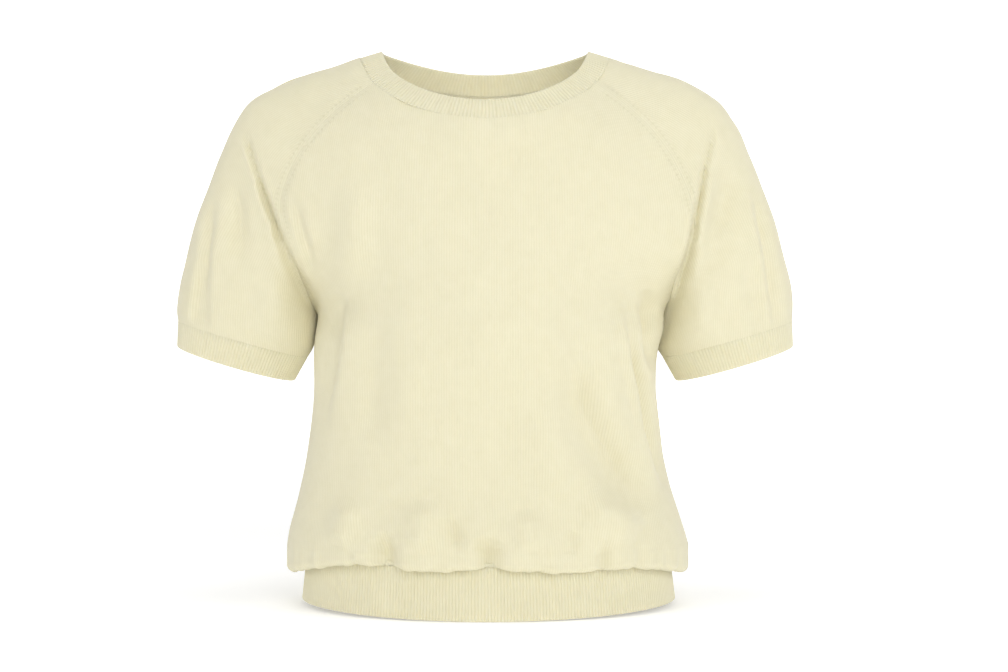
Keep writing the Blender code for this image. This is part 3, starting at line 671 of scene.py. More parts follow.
def drawn(grid):
    """The grid with the creases that cross the raglan seams, and the cloth that stands out.

    Where a point goes depends only on where it is, so neighbouring pieces stay together.
    """
    points = grid.reshape(-1, 3)
    moved = points.copy()
    shares = {
        "front": smooth((FRONT_ENDS - points[:, 1]) / FRONT_FADE),
        "back": smooth((points[:, 1] - FRONT_ENDS) / FRONT_FADE),
    }
    for values in SHIFTS:
        shift = dict(zip(SHIFT_COLUMNS, values))
        off = ((points[:, 0] - shift["x"]) / shift["wide"]) ** 2
        off += ((points[:, 2] - shift["z"]) / shift["high"]) ** 2
        share = np.exp(-off) * shares["front"]
        moved[:, 0] += math.copysign(shift["outward"], shift["x"]) * share
        moved[:, 1] -= shift["forward"] * share
    push = np.zeros(len(moved))
    pull = np.zeros(len(moved))
    for side, rows in CROSSINGS.items():
        for row in rows:
            fold = dict(zip(FOLD_COLUMNS, row))
            near = near_fold(moved, fold) & (shares[side] > 0.0)
            depth = fold_depth(moved[near], fold) * shares[side][near]
            depth = depth if side == "front" else -depth
            push[near] = np.maximum(push[near], depth)
            pull[near] = np.minimum(pull[near], depth)
    moved[:, 1] += push + pull
    return moved.reshape(grid.shape)


def settled(grid):
    """The grid with its rows near the underarm eased into each other, away from its edges."""
    calm = smooth(row_distance(grid) / SETTLE_EDGE)
    grid = grid.copy()
    rows = np.arange(len(grid)) - YOKE_ROWS
    share = SETTLE_SHARE * np.exp(-((rows / SETTLE_ROWS) ** 2))[1:-1, None, None]
    for _ in range(SETTLE_ROUNDS):
        middle = (grid[:-2] + grid[2:]) / 2
        grid[1:-1] += (middle - grid[1:-1]) * share * calm[1:-1, :, None]
    return grid


def tucked(grid, normals, distance):
    """The grid with its edges turned in at the seams; distance is how far off the seam is."""
    share = 1.0 - smooth(distance / SEAM_REACH)
    return grid - normals * (SEAM_TUCK * share**2)[..., None]


def wale_places(grid):
    """How far each point is from its row's middle, along the row."""
    run = run_along(grid, axis=1)
    middle = run.shape[1] // 2
    return run - run[:, middle:middle + 1]


def row_distance(grid):
    """How far each point is from the nearer end of its row."""
    run = run_along(grid, axis=1)
    return np.minimum(run, run[:, -1:] - run)


def roll_rows(fullest, seam, lowest):
    """The rows that turn under the fullest line of the body and up to the hem band's seam."""
    outward = fullest - seam
    outward[:, 2] = 0.0
    outward = unit(outward)
    foot = seam + outward * ROLL_STANDOFF
    radius = np.linalg.norm((fullest - foot)[:, :2], axis=1)[:, None] / 2
    middle = (fullest + foot) / 2
    middle[:, 2:] = lowest[:, None] + radius
    turn = middle + radius * outward
    rows = [fullest + (turn - fullest) * k / ROLL_DROP_ROWS for k in range(1, ROLL_DROP_ROWS)]
    for step in range(ROLL_STEPS + 1):
        angle = math.pi * step / ROLL_STEPS
        drop = vector(0.0, 0.0, -1.0) * math.sin(angle)
        rows.append(middle + radius * (outward * math.cos(angle) + drop))
    rows.append((rows[-1] + seam) / 2)
    rows.append(seam)
    return np.array(rows)


def gather_lift(name, fullest):
    """How far the gathers of this panel raise the lowest line of its rolled edge."""
    lift = np.zeros(len(fullest))
    for _, fold in folds_of(name):
        if fold["z2"] < GATHER_FOOT:
            width = (fold["right"] + fold["left"]) / 2
            lift += fold["depth2"] * np.exp(-((fullest[:, 0] - fold["x2"]) / width) ** 2)
    return GATHER_LIFT * lift


def edge_headings(name, ts):
    """The rows' directions at the two sides of the front or back, in ring order."""
    left = np.array([seam_headings(t)[name + "_body"] for t in ts] + [BACKWARD] * BODY_ROWS)
    right = left * TURNED
    return (right, left) if name == "front" else (left, right)


def lengthened(rows, count):
    """This many rows, the last one of those given repeated."""
    return np.concatenate((rows, np.repeat(rows[-1:], count - len(rows), axis=0)))


def ring_normals(ring):
    """Level outward directions along an open stretch of a ring."""
    along = np.gradient(ring, axis=0)
    along[:, 2] = 0.0
    return unit(np.cross(vector(0.0, 0.0, -1.0), along))


def puckered(grid, normals, lowest):
    """The lower part of a panel with small puckers above its gathered seam."""
    columns = grid.shape[1]
    turn = np.linspace(0.0, math.pi, columns)
    wave = sum(height * np.sin(count * turn + phase) for height, count, phase in PUCKERS)
    above = grid[:, :, 2] - lowest[None, :]
    share = 1.0 - smooth(above / PUCKER_REACH)
    inner = np.arange(len(grid)) > len(grid) - 2 - ROLL_STEPS // 2
    share[inner] *= PUCKER_INSIDE
    share[-1] = 0.0
    return grid - normals * (wave[None, :] * share)[..., None]


def panel_grid(name):
    """The outer points of a whole front or back, with its outward directions and wales."""
    ts = np.linspace(0.0, UNDERARM, YOKE_ROWS + 1)
    ws = np.linspace(0.0, 1.0, BODY_ROWS + 1)[1:]
    rows = [yoke_row(name, t) for t in ts] + [ring_row(name, BODY.at(w)) for w in ws]
    above = yoke_row(name, NECKLINE / BAND_ROWS)
    near, far = edge_headings(name, ts)
    grid = settled(np.array(rows))
    across = wale_places(grid)
    grid = drawn(grid)
    normals = grid_normals(grid, near, far, above)
    grid = folded(name, grid, normals, smooth(row_distance(grid) / SEAM_CALM))

    order = 1.0 if name == "front" else -1.0
    spot = order * np.linspace(-1.0, 1.0, grid.shape[1])
    lowest = np.array([ROLL_BOTTOM.at(u)[name] for u in spot])
    lowest += gather_lift(name, grid[-1])
    seam = ring_row(name, HEM_TOP)
    seam = seam + SEAM_GAP * ring_normals(seam)
    grid = np.concatenate((grid, roll_rows(grid[-1], seam, lowest)))
    across, near, far = (lengthened(rows, len(grid)) for rows in (across, near, far))
    normals = grid_normals(grid, near, far, above)
    grid = puckered(grid, normals, lowest)
    grid = tucked(grid, normals, np.minimum(row_distance(grid), run_along(grid)))
    return grid, grid_normals(grid, near, far, above - normals[0] * SEAM_TUCK), across


def sleeve_grid(name):
    """The outer points of a whole sleeve, with its outward directions and wales."""
    ts = np.linspace(0.0, UNDERARM, YOKE_ROWS + 1)
    ss = np.linspace(0.0, 1.0, SLEEVE_ROWS + 1)[1:]
    rows = [yoke_sleeve(t) for t in ts]
    rows[-1][-1] = rows[-1][0]
    rows += [sleeve_ring(SLEEVE.at(s)) for s in ss]
    near = np.array([seam_headings(t)["front_sleeve"] for t in ts])
    far = np.array([seam_headings(t)["back_sleeve"] for t in ts])
    above = yoke_sleeve(NECKLINE / BAND_ROWS)
    below = sleeve_ring(CUFF_EDGE)
    if name == "sleeve_right":
        rows = [mirrored(row) for row in rows]
        near, far = far * TURNED, near * TURNED
        above, below = mirrored(above), mirrored(below)
    grid = settled(np.array(rows))
    across = wale_places(grid)
    grid = drawn(grid)
    normals = grid_normals(grid, near, far, above, YOKE_ROWS, below)
    beside = row_distance(grid)
    beside[YOKE_ROWS + 1:] = SEAM_CALM
    to_cuff = run_along(grid[::-1])[::-1]
    calm = smooth(beside / SEAM_CALM) * smooth(to_cuff / SEAM_CALM)
    grid = folded(name, grid, normals, calm)
    normals = grid_normals(grid, near, far, above, YOKE_ROWS, below)
    distance = np.minimum(np.minimum(beside, run_along(grid)), to_cuff)
    grid = tucked(grid, normals, distance)
    above = above - normals[0] * SEAM_TUCK
    below = below - normals[-1] * SEAM_TUCK
    return grid, grid_normals(grid, near, far, above, YOKE_ROWS, below), across


def neck_ring(t):
    """The whole ring at t, round the front, the left sleeve, the back and the right sleeve."""
    sleeve = yoke_sleeve(t)
    return closed_ring(yoke_row("front", t), sleeve, yoke_row("back", t), mirrored(sleeve))


def hem_ring(v):
    """The ring this share of the way down the hem band, drawn in below the roll."""
    row = {key: HEM_TOP[key] * (1 - v) + HEM_EDGE[key] * v for key in HEM_TOP}
    row["half"] -= HEM_WAIST * (1 - v) * smooth(v / HEM_WAIST_FROM)
    return closed_ring(ring_row("front", row), ring_row("back", row))


def cuff_ring(v, right):
    """The ring this share of the way down a cuff."""
    ring = sleeve_ring(SLEEVE.at(1.0)) * (1 - v) + sleeve_ring(CUFF_EDGE) * v
    return closed_ring(mirrored(ring) if right else ring)


def closed_ring(*stretches):
    """One closed ring from stretches that each end where the next begins, near enough."""
    return np.concatenate([stretch[:-1] for stretch in stretches])


def along_ring(ring, places):
    """Points on a closed polygon; whole numbers are its corners."""
    corner = np.floor(places).astype(int)
    share = (places - corner)[:, None]
    count = len(ring)
    return ring[corner % count] * (1 - share) + ring[(corner + 1) % count] * share


def even_places(ring, count):
    """Even places round a closed polygon, counted in its corners."""
    run = run_along(np.concatenate((ring, ring[:1])))
    return np.interp(np.arange(count) * run[-1] / count, run, np.arange(len(ring) + 1))


def rib_height(turn):
    """How high a rib stands at this point of its turn, from 0 in the hollow to 1 on top."""
    return np.abs(np.cos(math.pi * turn)) ** RIB_ROUNDNESS


def band_grid(ring_at, ribs, seam_first):
    """A closed grid round and through a ribbed band, with stitch coordinates for the knit.

    Each row is a ring. The rows run down the outside, round the lower rim, up the inside and
    round the upper rim. A rib on the outside is a hollow on the inside. The rim at the seam,
    the upper one where seam_first is set, is flatter than the free one.
    """
    base = [ring_at(v) for v in np.linspace(0.0, 1.0, BAND_ROWS + 1)]
    places = even_places(base[0], ribs * RIB_STEPS)
    rings = np.array([along_ring(ring, places) for ring in base])
    down = np.gradient(rings, axis=0)
    along = np.roll(rings, -1, axis=1) - np.roll(rings, 1, axis=1)
    normals = unit(np.cross(down, along))
    length = float(run_along(rings)[-1].mean())

    turn = np.arange(len(places)) / RIB_STEPS
    face = -RIB_DEPTH * (1.0 - rib_height(turn))
    reverse = -BAND_WALL + RIB_DEPTH * (1.0 - rib_height(turn + 0.5))
    middle = (face + reverse) / 2
    half = (face - reverse) / 2

    upper, lower = (SEAM_RIM, FREE_RIM) if seam_first else (FREE_RIM, SEAM_RIM)
    upper, lower = upper / length, lower / length
    sweep = np.linspace(0.0, math.pi, RIM_STEPS + 1)[1:-1]
    body = np.linspace(upper, 1.0 - lower, BAND_ROWS + 1)
    stations = [(v, 1.0, v * length) for v in body]
    stations += [(1 - lower + lower * math.sin(a), math.cos(a), length) for a in sweep]
    stations += [(v, -1.0, v * length) for v in body[::-1]]
    stations += [(upper - upper * math.sin(a), -math.cos(a), 0.0) for a in sweep]
    rows = []
    for v, side, _ in stations:
        spot = v * BAND_ROWS
        low = min(int(spot), BAND_ROWS - 1)
        share = spot - low
        ring = rings[low] * (1 - share) + rings[low + 1] * share
        away = unit(normals[low] * (1 - share) + normals[low + 1] * share)
        rows.append(ring + away * (middle + half * side)[:, None])
    stitch = np.zeros((len(stations) + 1, len(places) + 1, 2))
    stitch[:, :, 0] = (np.arange(len(places) + 1) / RIB_STEPS + 0.5) * RIB_PITCH
    stitch[:, :, 1] = np.array([row[2] for row in stations] + [0.0])[:, None]
    return np.array(rows), stitch


def grid_quads(rows, columns, closed_rows=False, closed_from=None):
    """Faces of a grid as corner numbers, and each corner's place in the grid.

    The last row joins the first where closed_rows is set. Rows from closed_from on have their
    last column joined to their first.
    """
    row_count = rows if closed_rows else rows - 1
    i, j = np.meshgrid(np.arange(row_count), np.arange(columns - 1), indexing="ij")
    corners = ((0, 0), (1, 0), (1, 1), (0, 1))
    place = np.stack([np.stack((i.ravel() + a, j.ravel() + b), 1) for a, b in corners], axis=1)
    index = np.arange(rows * columns).reshape(rows, columns)
    if closed_from is not None:
        index[closed_from:, -1] = index[closed_from:, 0]
    return index[place[..., 0] % rows, place[..., 1]], place


def to_frame(points):
    """Points in metres about the frame's origin."""
    return (points - vector(0.0, 0.0, ORIGIN_Z)) * MM


SHARP = 62.0  # degrees; an edge that turns more than this isn't smoothed


def placed(name, data):
    """A new object in the scene."""
    thing = bpy.data.objects.new(name, data)
    bpy.context.scene.collection.objects.link(thing)
    return thing


def make_mesh(name, points, quads, stitch, beside, material):
    """A smooth piece from points in millimetres, with up to two UV maps in millimetres.

    stitch and beside hold a pair for every corner: the place in the knit, and the distance
    from the nearest raglan or side seam.
    """
    used = np.unique(quads)
    place = np.full(len(points), -1)
    place[used] = np.arange(len(used))
    quads = place[quads]
    mesh = bpy.data.meshes.new(name)
    mesh.vertices.add(len(used))
    mesh.vertices.foreach_set("co", to_frame(points[used]).astype(np.float32).ravel())
    mesh.loops.add(quads.size)
    mesh.loops.foreach_set("vertex_index", quads.astype(np.int32).ravel())
    mesh.polygons.add(len(quads))
    starts = np.arange(len(quads)) * quads.shape[1]
    mesh.polygons.foreach_set("loop_start", starts.astype(np.int32))
    mesh.materials.append(material)
    for uv_name, values in (("stitch", stitch), ("beside", beside)):
        if values is not None:
            layer = mesh.uv_layers.new(name=uv_name)
            layer.data.foreach_set("uv", values.astype(np.float32).ravel())
    mesh.update(calc_edges=True)
    mesh.validate()
    mesh.shade_smooth()
    mesh.set_sharp_from_angle(angle=math.radians(SHARP))
    return placed(name, mesh)


def rim_quads(quads, offset):
    """The faces that join a shell's outside to its inside along its open edges."""
    count = quads.max() + 1
    a = quads.ravel()
    b = np.roll(quads, -1, axis=1).ravel()
    forward = a.astype(np.int64) * count + b
    backward = b.astype(np.int64) * count + a
    open_edge = ~np.isin(forward, backward)
    a, b = a[open_edge], b[open_edge]
    corner = np.flatnonzero(open_edge)
    after = np.where(corner % 4 == 3, corner - 3, corner + 1)
    return np.stack((b, a, a + offset, b + offset), axis=1), corner, after


def cloth_shell(name, grid, normals, across, material, closed_from=None):
    """A thin closed shell behind a grid of outer points; across is each one's wale, in mm."""
    rows, columns = grid.shape[:2]
    quads, place = grid_quads(rows, columns, closed_from=closed_from)
    outer = grid.reshape(-1, 3)
    inner = (grid - CLOTH * normals).reshape(-1, 3)
    rim, corner, after = rim_quads(quads, len(outer))
    every = np.concatenate((quads, quads[:, ::-1] + len(outer), rim))

    down = run_along(grid).mean(axis=1)
    stitch = np.stack((across, np.repeat(down[:, None], columns, axis=1)), axis=-1)
    beside = row_distance(grid)
    if closed_from is not None:
        fade = np.arange(rows - closed_from)[:, None]
        beside[closed_from:] += FASHIONED * smooth(fade / FASHIONED_FADE)
    beside = np.stack((beside, stitch[..., 1]), axis=-1)
    values = []
    for pair in (stitch, beside):
        spot = pair[place[..., 0], place[..., 1]]
        flat = spot.reshape(-1, 2)
        edge = np.stack((flat[after], flat[corner], flat[corner], flat[after]), axis=1)
        values.append(np.concatenate((spot, spot[:, ::-1], edge)))
    points = np.concatenate((outer, inner))
    return make_mesh(name, points, every, values[0], values[1], material)


def band_shell(name, ring_at, ribs, seam_first, material):
    """A ribbed band as one closed mesh."""
    grid, stitch = band_grid(ring_at, ribs, seam_first)
    rows, columns = grid.shape[:2]
    wrapped = np.concatenate((grid, grid[:, :1]), axis=1)
    quads, place = grid_quads(rows, columns + 1, closed_rows=True, closed_from=0)
    spot = stitch[place[..., 0], place[..., 1]]
    return make_mesh(name, wrapped.reshape(-1, 3), quads, spot, None, material)


# ---- Small stitched detail ----

MARK_SPACING = 5.0  # along the seam
MARK_FROM_SEAM = 4.8
MARK_SIZE = (3.0, 1.2, 0.2)  # length, width and height
MARK_LEAN = 27.0  # degrees off the seam's own direction
MARK_TOP = 0.05  # the marks run between these yoke positions
MARK_FOOT = 0.92
LINK_SIZE = (3.2, 1.5, 0.75)
LINK_STEP = 0.8  # from one linking stitch to the next, as a share of its length
BEAD_ROUND = 6  # points round a stitch
BEAD_LONG = 5  # steps along it
BEAD_TIP = 0.06  # how far into its swell a stitch begins and ends
BEAD_SWELL = 0.88
BEAD_FULLNESS = 0.8  # below 1 a stitch is fuller towards its ends


def bead_faces():
    """The faces of one small stitch, as corner numbers."""
    quads = []
    for i in range(BEAD_LONG):
        for j in range(BEAD_ROUND):
            after = (j + 1) % BEAD_ROUND
            low, high = i * BEAD_ROUND, (i + 1) * BEAD_ROUND
            quads.append((low + j, low + after, high + after, high + j))
    for foot, turned in ((0, True), (BEAD_LONG * BEAD_ROUND, False)):
        for j in range(1, BEAD_ROUND - 2, 2):
            face = (foot, foot + j, foot + j + 1, foot + j + 2)
            quads.append(face[::-1] if turned else face)
    return np.array(quads)


def joined_beads(name, beads, size, material):
    """One mesh of many small raised stitches, each pointed at both ends.

    beads holds the centre, the direction and the way up of each one, and size the length,
    width and height of them all.
    """
    centre, forward, up = np.array(beads).transpose(1, 0, 2)[:, :, None, None]
    length, width, height = size
    share = np.arange(BEAD_LONG + 1)[:, None, None] / BEAD_LONG
    angle = 2 * math.pi * np.arange(BEAD_ROUND)[:, None] / BEAD_ROUND
    swell = np.sin(math.pi * (BEAD_TIP + BEAD_SWELL * share)) ** BEAD_FULLNESS
    points = (
        centre + forward * length * (share - 0.5)
        + np.cross(up, forward) * (width / 2 * swell * np.cos(angle))
        + up * (height * swell * np.sin(angle))
    )
    first = np.arange(len(beads))[:, None, None] * (BEAD_LONG + 1) * BEAD_ROUND
    quads = (bead_faces() + first).reshape(-1, 4)
    stitch = np.zeros((len(quads), 4, 2))
    return make_mesh(name, points.reshape(-1, 3), quads, stitch, None, material)


def point_at(distance, run, values):
    """The point or direction this far along a line, between those given."""
    return np.array([np.interp(distance, run, values[:, k]) for k in range(3)])


def marks_beside(grid, normals, order):
    """Places of the fashioning marks beside one raglan edge: a row's first, or last for -1."""
    spots = []
    ups = []
    for row, away in zip(grid[:YOKE_ROWS + 1, ::order], normals[:YOKE_ROWS + 1, ::order]):
        run = run_along(row)
        spots.append(point_at(MARK_FROM_SEAM, run, row))
        ups.append(point_at(MARK_FROM_SEAM, run, away))
    spots = np.array(spots)
    lines = (spots, unit(np.array(ups)), np.gradient(spots, axis=0))
    run = run_along(spots)
    first, last = (int(t * YOKE_ROWS) for t in (MARK_TOP, MARK_FOOT))
    beads = []
    for distance in np.arange(run[first], run[last], MARK_SPACING):
        centre, up, ahead = (point_at(distance, run, line) for line in lines)
        up = unit(up)
        ahead = unit(ahead - up * (ahead @ up))
        side = np.cross(up, ahead)
        for lean in (-MARK_LEAN, MARK_LEAN):
            forward = ahead * math.cos(math.radians(lean)) + side * math.sin(math.radians(lean))
            shift = side * math.copysign(MARK_SIZE[1] / 2, lean)
            beads.append((centre + shift, forward, up))
    return beads


def linking(name, ring, away, material):
    """A row of linking stitches along the inside of a band's seam."""
    run = run_along(np.concatenate((ring, ring[:1])))
    places = even_places(ring, int(run[-1] / (LINK_SIZE[0] * LINK_STEP)))
    spots = along_ring(ring, places)
    ups = unit(along_ring(away, places))
    ahead = unit(np.roll(spots, -1, axis=0) - np.roll(spots, 1, axis=0))
    beads = np.stack((spots - ups * BAND_WALL, ahead, -ups), axis=1)
    return joined_beads(name, beads, LINK_SIZE, material)


# ---- Materials ----

class Graph:
    """Builds a material's nodes, one short call for each."""

    def __init__(self, name):
        self.material = bpy.data.materials.new(name)
        self.material.use_nodes = True
        self.tree = self.material.node_tree
        self.shader = self.tree.nodes["Principled BSDF"]

    def add(self, kind, **settings):
        """A new node with these settings."""
        node = self.tree.nodes.new(kind)
        for key, value in settings.items():
            setattr(node, key, value)
        return node

    def feed(self, socket, value):
        """Links an output to this input, or sets a plain number or colour on it."""
        if isinstance(value, bpy.types.NodeSocket):
            self.tree.links.new(value, socket)
        else:
            socket.default_value = value

    def fill(self, node, values):
        """Feeds a node's inputs, by name."""
        for name, value in values.items():
            self.feed(node.inputs[name], value)

    def math(self, operation, *values):
        """One sum of numbers."""
        node = self.add("ShaderNodeMath", operation=operation)
        for socket, value in zip(node.inputs, values):
            self.feed(socket, value)
        return node.outputs[0]

    def map(self, name):
        """The two coordinates of a UV map."""
        uv = self.add("ShaderNodeUVMap", uv_map=name)
        split = self.add("ShaderNodeSeparateXYZ")
        self.tree.links.new(uv.outputs[0], split.inputs[0])
        return split.outputs[0], split.outputs[1]

    def noise(self, scale, detail, roughness=0.5):
        """Noise over the object's own space, from 0 to 1."""
        place = self.add("ShaderNodeTexCoord")
        noise = self.add("ShaderNodeTexNoise", noise_dimensions="3D")
        self.fill(noise, {"Vector": place.outputs["Object"], "Scale": scale})
        self.fill(noise, {"Detail": detail, "Roughness": roughness})
        return noise.outputs["Fac"]

    def blend(self, share, first, second):
        """A colour between two others."""
        mix = self.add("ShaderNodeMix", data_type="RGBA")
        self.fill(mix, {"Factor": share, "A": first, "B": second})
        return mix.outputs["Result"]


def stitch_height(graph, across, down, wale, course):
    """The height of plain knit, from 0 between the wales to 1 on a stitch's leg."""
    column = graph.math("DIVIDE", across, wale)
    off = graph.math("ABSOLUTE", graph.math("SUBTRACT", graph.math("FRACT", column), 0.5))
    leg = graph.math("COSINE", graph.math("MULTIPLY", off, math.pi))
    row = graph.math("DIVIDE", down, course)
    slanted = graph.math("ADD", row, graph.math("MULTIPLY", off, LEG_SLANT))
    loop = graph.math("SINE", graph.math("MULTIPLY", graph.math("FRACT", slanted), math.pi))
    height = graph.math("ADD", LOOP_BASE, graph.math("MULTIPLY", loop, 1.0 - LOOP_BASE))
    return graph.math("MULTIPLY", leg, height)


LEG_SLANT = -1.5  # how many courses a stitch's leg rises over a wale
LOOP_BASE = 0.78  # height of a leg where one stitch passes into the next
# The scale and detail of each noise, and a roughness where it isn't the usual one.
FIBRE = (2600.0, 2.0)
MOTTLE = (95.0, 3.0, 0.6)
CLOUD = (9.0, 2.0)
PAINTED_SHADE_BETWEEN_WALES = 0.45  # painted shade: how much darker the yarn is between the wales than on a stitch's top
MOTTLE_TONE = 0.4
CLOUD_TONE = 0.2
FIBRE_HEIGHT = 0.5  # beside a stitch's height of 1
STITCH_DEPTH = 0.45
ROUGHNESS = 0.82
FIBRE_ROUGHNESS = 0.14
KNIT_SURFACE = {
    "Specular IOR Level": 0.2,
    "Subsurface Radius": (1.0, 0.9, 0.7),
    "Sheen Weight": 0.22,
    "Sheen Roughness": 0.5,
    "Sheen Tint": (1.0, 0.965, 0.93, 1.0),
}


def toned(colour, tone):
    """A colour made darker by a share, with full opacity."""
    return tuple(part * tone for part in colour) + (1.0,)


def knit_material(name, wale, course, fashioned, relief, tone, glow, depth):
    """Fine knit: columns of slanted stitches, a little fibre, uneven yarn and painted shade.

    tone scales the yarn's colour, lower on the ribbed cloth as painted shade of its ribs; glow
    is how much of the light goes into the cloth, and depth how far, in millimetres.
    """
    graph = Graph(name)
    across, down = graph.map("stitch")
    height = stitch_height(graph, across, down, wale, course)
    if fashioned:
        beside, _ = graph.map("beside")
        edge = stitch_height(graph, beside, down, wale, course)
        inside = graph.math("LESS_THAN", beside, FASHIONED)
        gap = graph.math("SUBTRACT", edge, height)
        height = graph.math("ADD", height, graph.math("MULTIPLY", gap, inside))
    fibre, mottle, cloud = (graph.noise(*values) for values in (FIBRE, MOTTLE, CLOUD))

    # The yarn's colour varies with its random mottle and cloud, and with the stitch's height as
    # painted shade, darker in the hollows between the wales.
    yarn = graph.math("MULTIPLY", height, PAINTED_SHADE_BETWEEN_WALES)
    for noise, share in ((mottle, MOTTLE_TONE), (cloud, CLOUD_TONE)):
        yarn = graph.math("ADD", yarn, graph.math("MULTIPLY", noise, share))
    colour = graph.blend(yarn, toned(YARN_MOTTLE_AND_PAINTED_SHADE, tone), toned(YARN, tone))
    surface = graph.math("ADD", height, graph.math("MULTIPLY", fibre, FIBRE_HEIGHT))
    bump = graph.add("ShaderNodeBump")
    graph.fill(bump, {"Strength": relief, "Distance": STITCH_DEPTH * MM, "Height": surface})
    graph.fill(graph.shader, {
        "Base Color": colour,
        "Normal": bump.outputs["Normal"],
        "Roughness": graph.math("ADD", ROUGHNESS, graph.math("MULTIPLY", fibre, FIBRE_ROUGHNESS)),
        "Subsurface Weight": glow,
        "Subsurface Scale": depth * MM,
        **KNIT_SURFACE,
    })
    return graph.material


def stage_material():
    """The white floor and backdrop."""
    graph = Graph("white_stage")
    grain = graph.noise(*STAGE_GRAIN)
    place = graph.add("ShaderNodeTexCoord")
    split = graph.add("ShaderNodeSeparateXYZ")
    graph.feed(split.inputs[0], place.outputs["Object"])
    glow = graph.add("ShaderNodeMapRange")
    values = (split.outputs[1], GLOW_FROM, GLOW_TO, STAGE_GLOW, WALL_GLOW)
    for socket, value in zip(glow.inputs, values):
        graph.feed(socket, value)
    graph.fill(graph.shader, {
        "Base Color": graph.blend(grain, toned(WHITE, STAGE_DARK), toned(WHITE, STAGE_LIGHT)),
        "Roughness": 1.0,
        "Specular IOR Level": 0.0,
        "Emission Color": toned(WHITE, 1.0),
        "Emission Strength": glow.outputs[0],
    })
    return graph.material


# ---- The garment ----

def dress(piece, node=None):
    """Has a piece ride with the garment, and stand for its solid where it has one."""
    if node:
        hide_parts(node)
    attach(piece, "root")


def make_garment():
    """All the cloth pieces, their fashioning marks and the linking inside."""
    plain = knit_material(
        "plain_knit_cloth", WALE, COURSE, fashioned=True,
        relief=0.4, tone=0.945, glow=0.2, depth=2.0,
    )
    # The ribbed cloth is the same yarn at a lower tone: painted shade for the shadow between its
    # ribs.
    rib = knit_material(
        "ribbed_knit_cloth", RIB_PITCH, RIB_COURSE, fashioned=False,
        relief=0.28, tone=0.915, glow=0.4, depth=5.0,
    )
    shells = {}
    stitches = {}
    for name in ("front", "back", "sleeve_left", "sleeve_right"):
        is_sleeve = name.startswith("sleeve")
        grid, normals, across = sleeve_grid(name) if is_sleeve else panel_grid(name)
        closed_from = YOKE_ROWS if is_sleeve else None
        shells[name] = cloth_shell(name + "_cloth", grid, normals, across, plain, closed_from)
        beads = marks_beside(grid, normals, 1) + marks_beside(grid, normals, -1)
        stitches[name] = joined_beads(name + "_marks", beads, MARK_SIZE, plain)
    bands = {
        "neck_band": (lambda v: neck_ring(NECKLINE * (1 - v)), NECK_RIBS),
        "hem_band": (hem_ring, HEM_RIBS),
        "cuff_left": (lambda v: cuff_ring(v, False), CUFF_RIBS),
        "cuff_right": (lambda v: cuff_ring(v, True), CUFF_RIBS),
    }
    for name, (ring_at, ribs) in bands.items():
        shells[name] = band_shell(name + "_cloth", ring_at, ribs, name != "neck_band", rib)

    above, seam, below = (neck_ring(t / BAND_ROWS) for t in (NECKLINE, 0.0, -NECKLINE))
    along = np.roll(seam, -1, axis=0) - np.roll(seam, 1, axis=0)
    away = unit(np.cross(below - above, along))
    stitches["neck_band"] = linking("neck_linking", seam, away, rib)

    for name, shell in shells.items():
        dress(shell, name)
        going = [stitches[name]] if name in stitches else []
        for piece in going:
            dress(piece)


# ---- Stage, light and camera ----

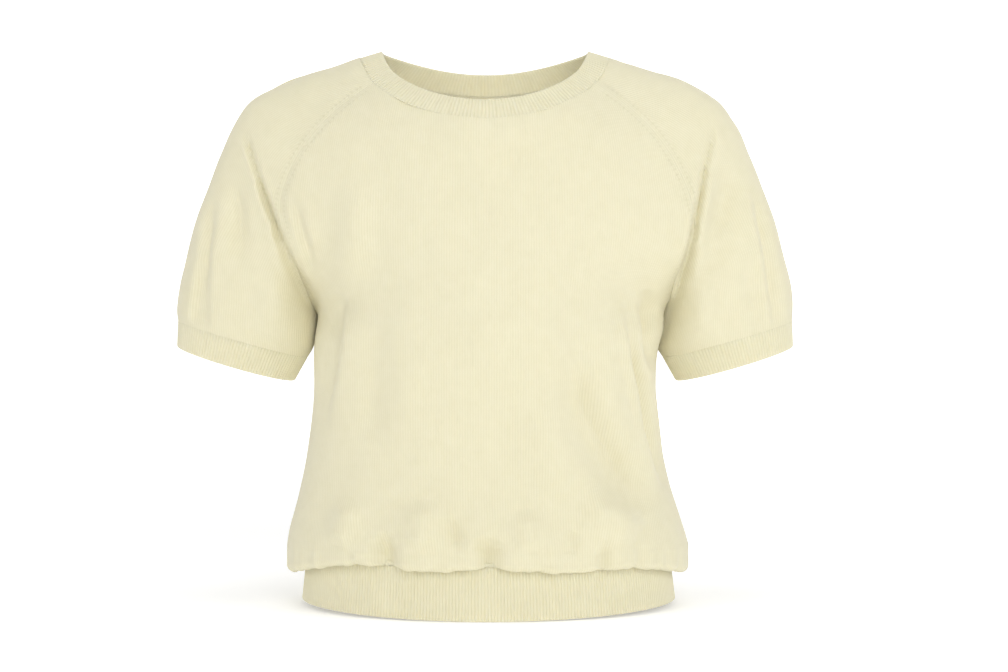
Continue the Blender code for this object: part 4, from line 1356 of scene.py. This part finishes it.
CAMERA = (18.0, -1700.0, -270.0)
LENS = 63.9
SENSOR = 36.0
WHITE = (1.0, 1.0, 1.0)
STAGE_GRAIN = (3.0, 1.0)  # the scale and detail of its faint unevenness
STAGE_DARK = 0.88
STAGE_LIGHT = 0.9
STAGE_GLOW = 0.31
WALL_GLOW = 0.65
GLOW_FROM = 0.6  # the glow goes from the floor's to the wall's over this stretch
GLOW_TO = 2.6
FLOOR_DROP = 0.3  # the floor lies this far below the hem
STAGE_FRONT = -3.0
STAGE_BACK = 4.2
STAGE_SIDE = 6.0
STAGE_TOP = 4.5
STAGE_BEND = 1.2
STAGE_BEND_STEPS = 16
WORLD_LIGHT = 0.35
LIGHT_TARGET = (0.0, 0.0, -0.25)
LIGHTS = (
    # name, place, what it is aimed at, size, power, and spread in degrees
    ("key", (0.5, -2.2, 0.5), LIGHT_TARGET, 1.2, 20.0, 180.0),
    ("side_left", (2.1, -1.0, 0.2), LIGHT_TARGET, 1.6, 9.5, 180.0),
    ("side_right", (-2.0, -1.1, 0.1), LIGHT_TARGET, 1.6, 11.5, 180.0),
    ("top", (0.1, -0.4, 2.4), LIGHT_TARGET, 1.6, 21.0, 180.0),
    # Inside the garment, on the inside of the back, where the camera can't see it.
    ("neck", (0.0, -0.05, -0.19), (0.0, 0.065, -0.02), 0.1, 0.055, 80.0),
)


def make_stage():
    """A white floor that bends up into a white wall behind the garment."""
    floor = CAD_LOW[2] - FLOOR_DROP * MM
    profile = [(STAGE_FRONT, floor), (STAGE_BACK - STAGE_BEND, floor)]
    for angle in np.linspace(0.0, math.pi / 2, STAGE_BEND_STEPS + 1)[1:]:
        profile.append((
            STAGE_BACK - STAGE_BEND + STAGE_BEND * math.sin(angle),
            floor + STAGE_BEND * (1.0 - math.cos(angle)),
        ))
    profile.append((STAGE_BACK, STAGE_TOP))
    points = [(x, y, z) for y, z in profile for x in (-STAGE_SIDE, STAGE_SIDE)]
    faces = [(2 * k, 2 * k + 1, 2 * k + 3, 2 * k + 2) for k in range(len(profile) - 1)]
    mesh = bpy.data.meshes.new("stage_floor")
    mesh.from_pydata(points, [], faces)
    mesh.shade_smooth()
    mesh.materials.append(stage_material())
    placed("stage_floor", mesh)


def make_light(name, place, target, size, power, spread):
    """One white area light, aimed at a point."""
    data = bpy.data.lights.new(name, "AREA")
    data.size = size
    data.energy = power
    data.spread = math.radians(spread)
    lamp = placed(name, data)
    lamp.location = place
    lamp.rotation_euler = (Vector(target) - Vector(place)).to_track_quat("-Z", "Y").to_euler()
    lamp.visible_camera = False


def make_lights():
    """Broad soft lights round the camera, one inside the neck, and a white surround."""
    for values in LIGHTS:
        make_light(*values)
    world = bpy.data.worlds.new("surround")
    world.use_nodes = True
    surround = world.node_tree.nodes["Background"].inputs
    surround["Color"].default_value = toned(WHITE, 1.0)
    surround["Strength"].default_value = WORLD_LIGHT
    bpy.context.scene.world = world


def make_camera():
    """The camera, level with the chest and a little to the wearer's left."""
    data = bpy.data.cameras.new("camera")
    data.lens = LENS
    data.sensor_width = SENSOR
    camera = placed("camera", data)
    camera.location = to_frame(vector(*CAMERA))
    camera.rotation_euler = (math.pi / 2, 0.0, 0.0)
    bpy.context.scene.camera = camera


make_garment()
make_stage()
make_lights()
make_camera()
bpy.context.scene.view_settings.view_transform = "Standard"
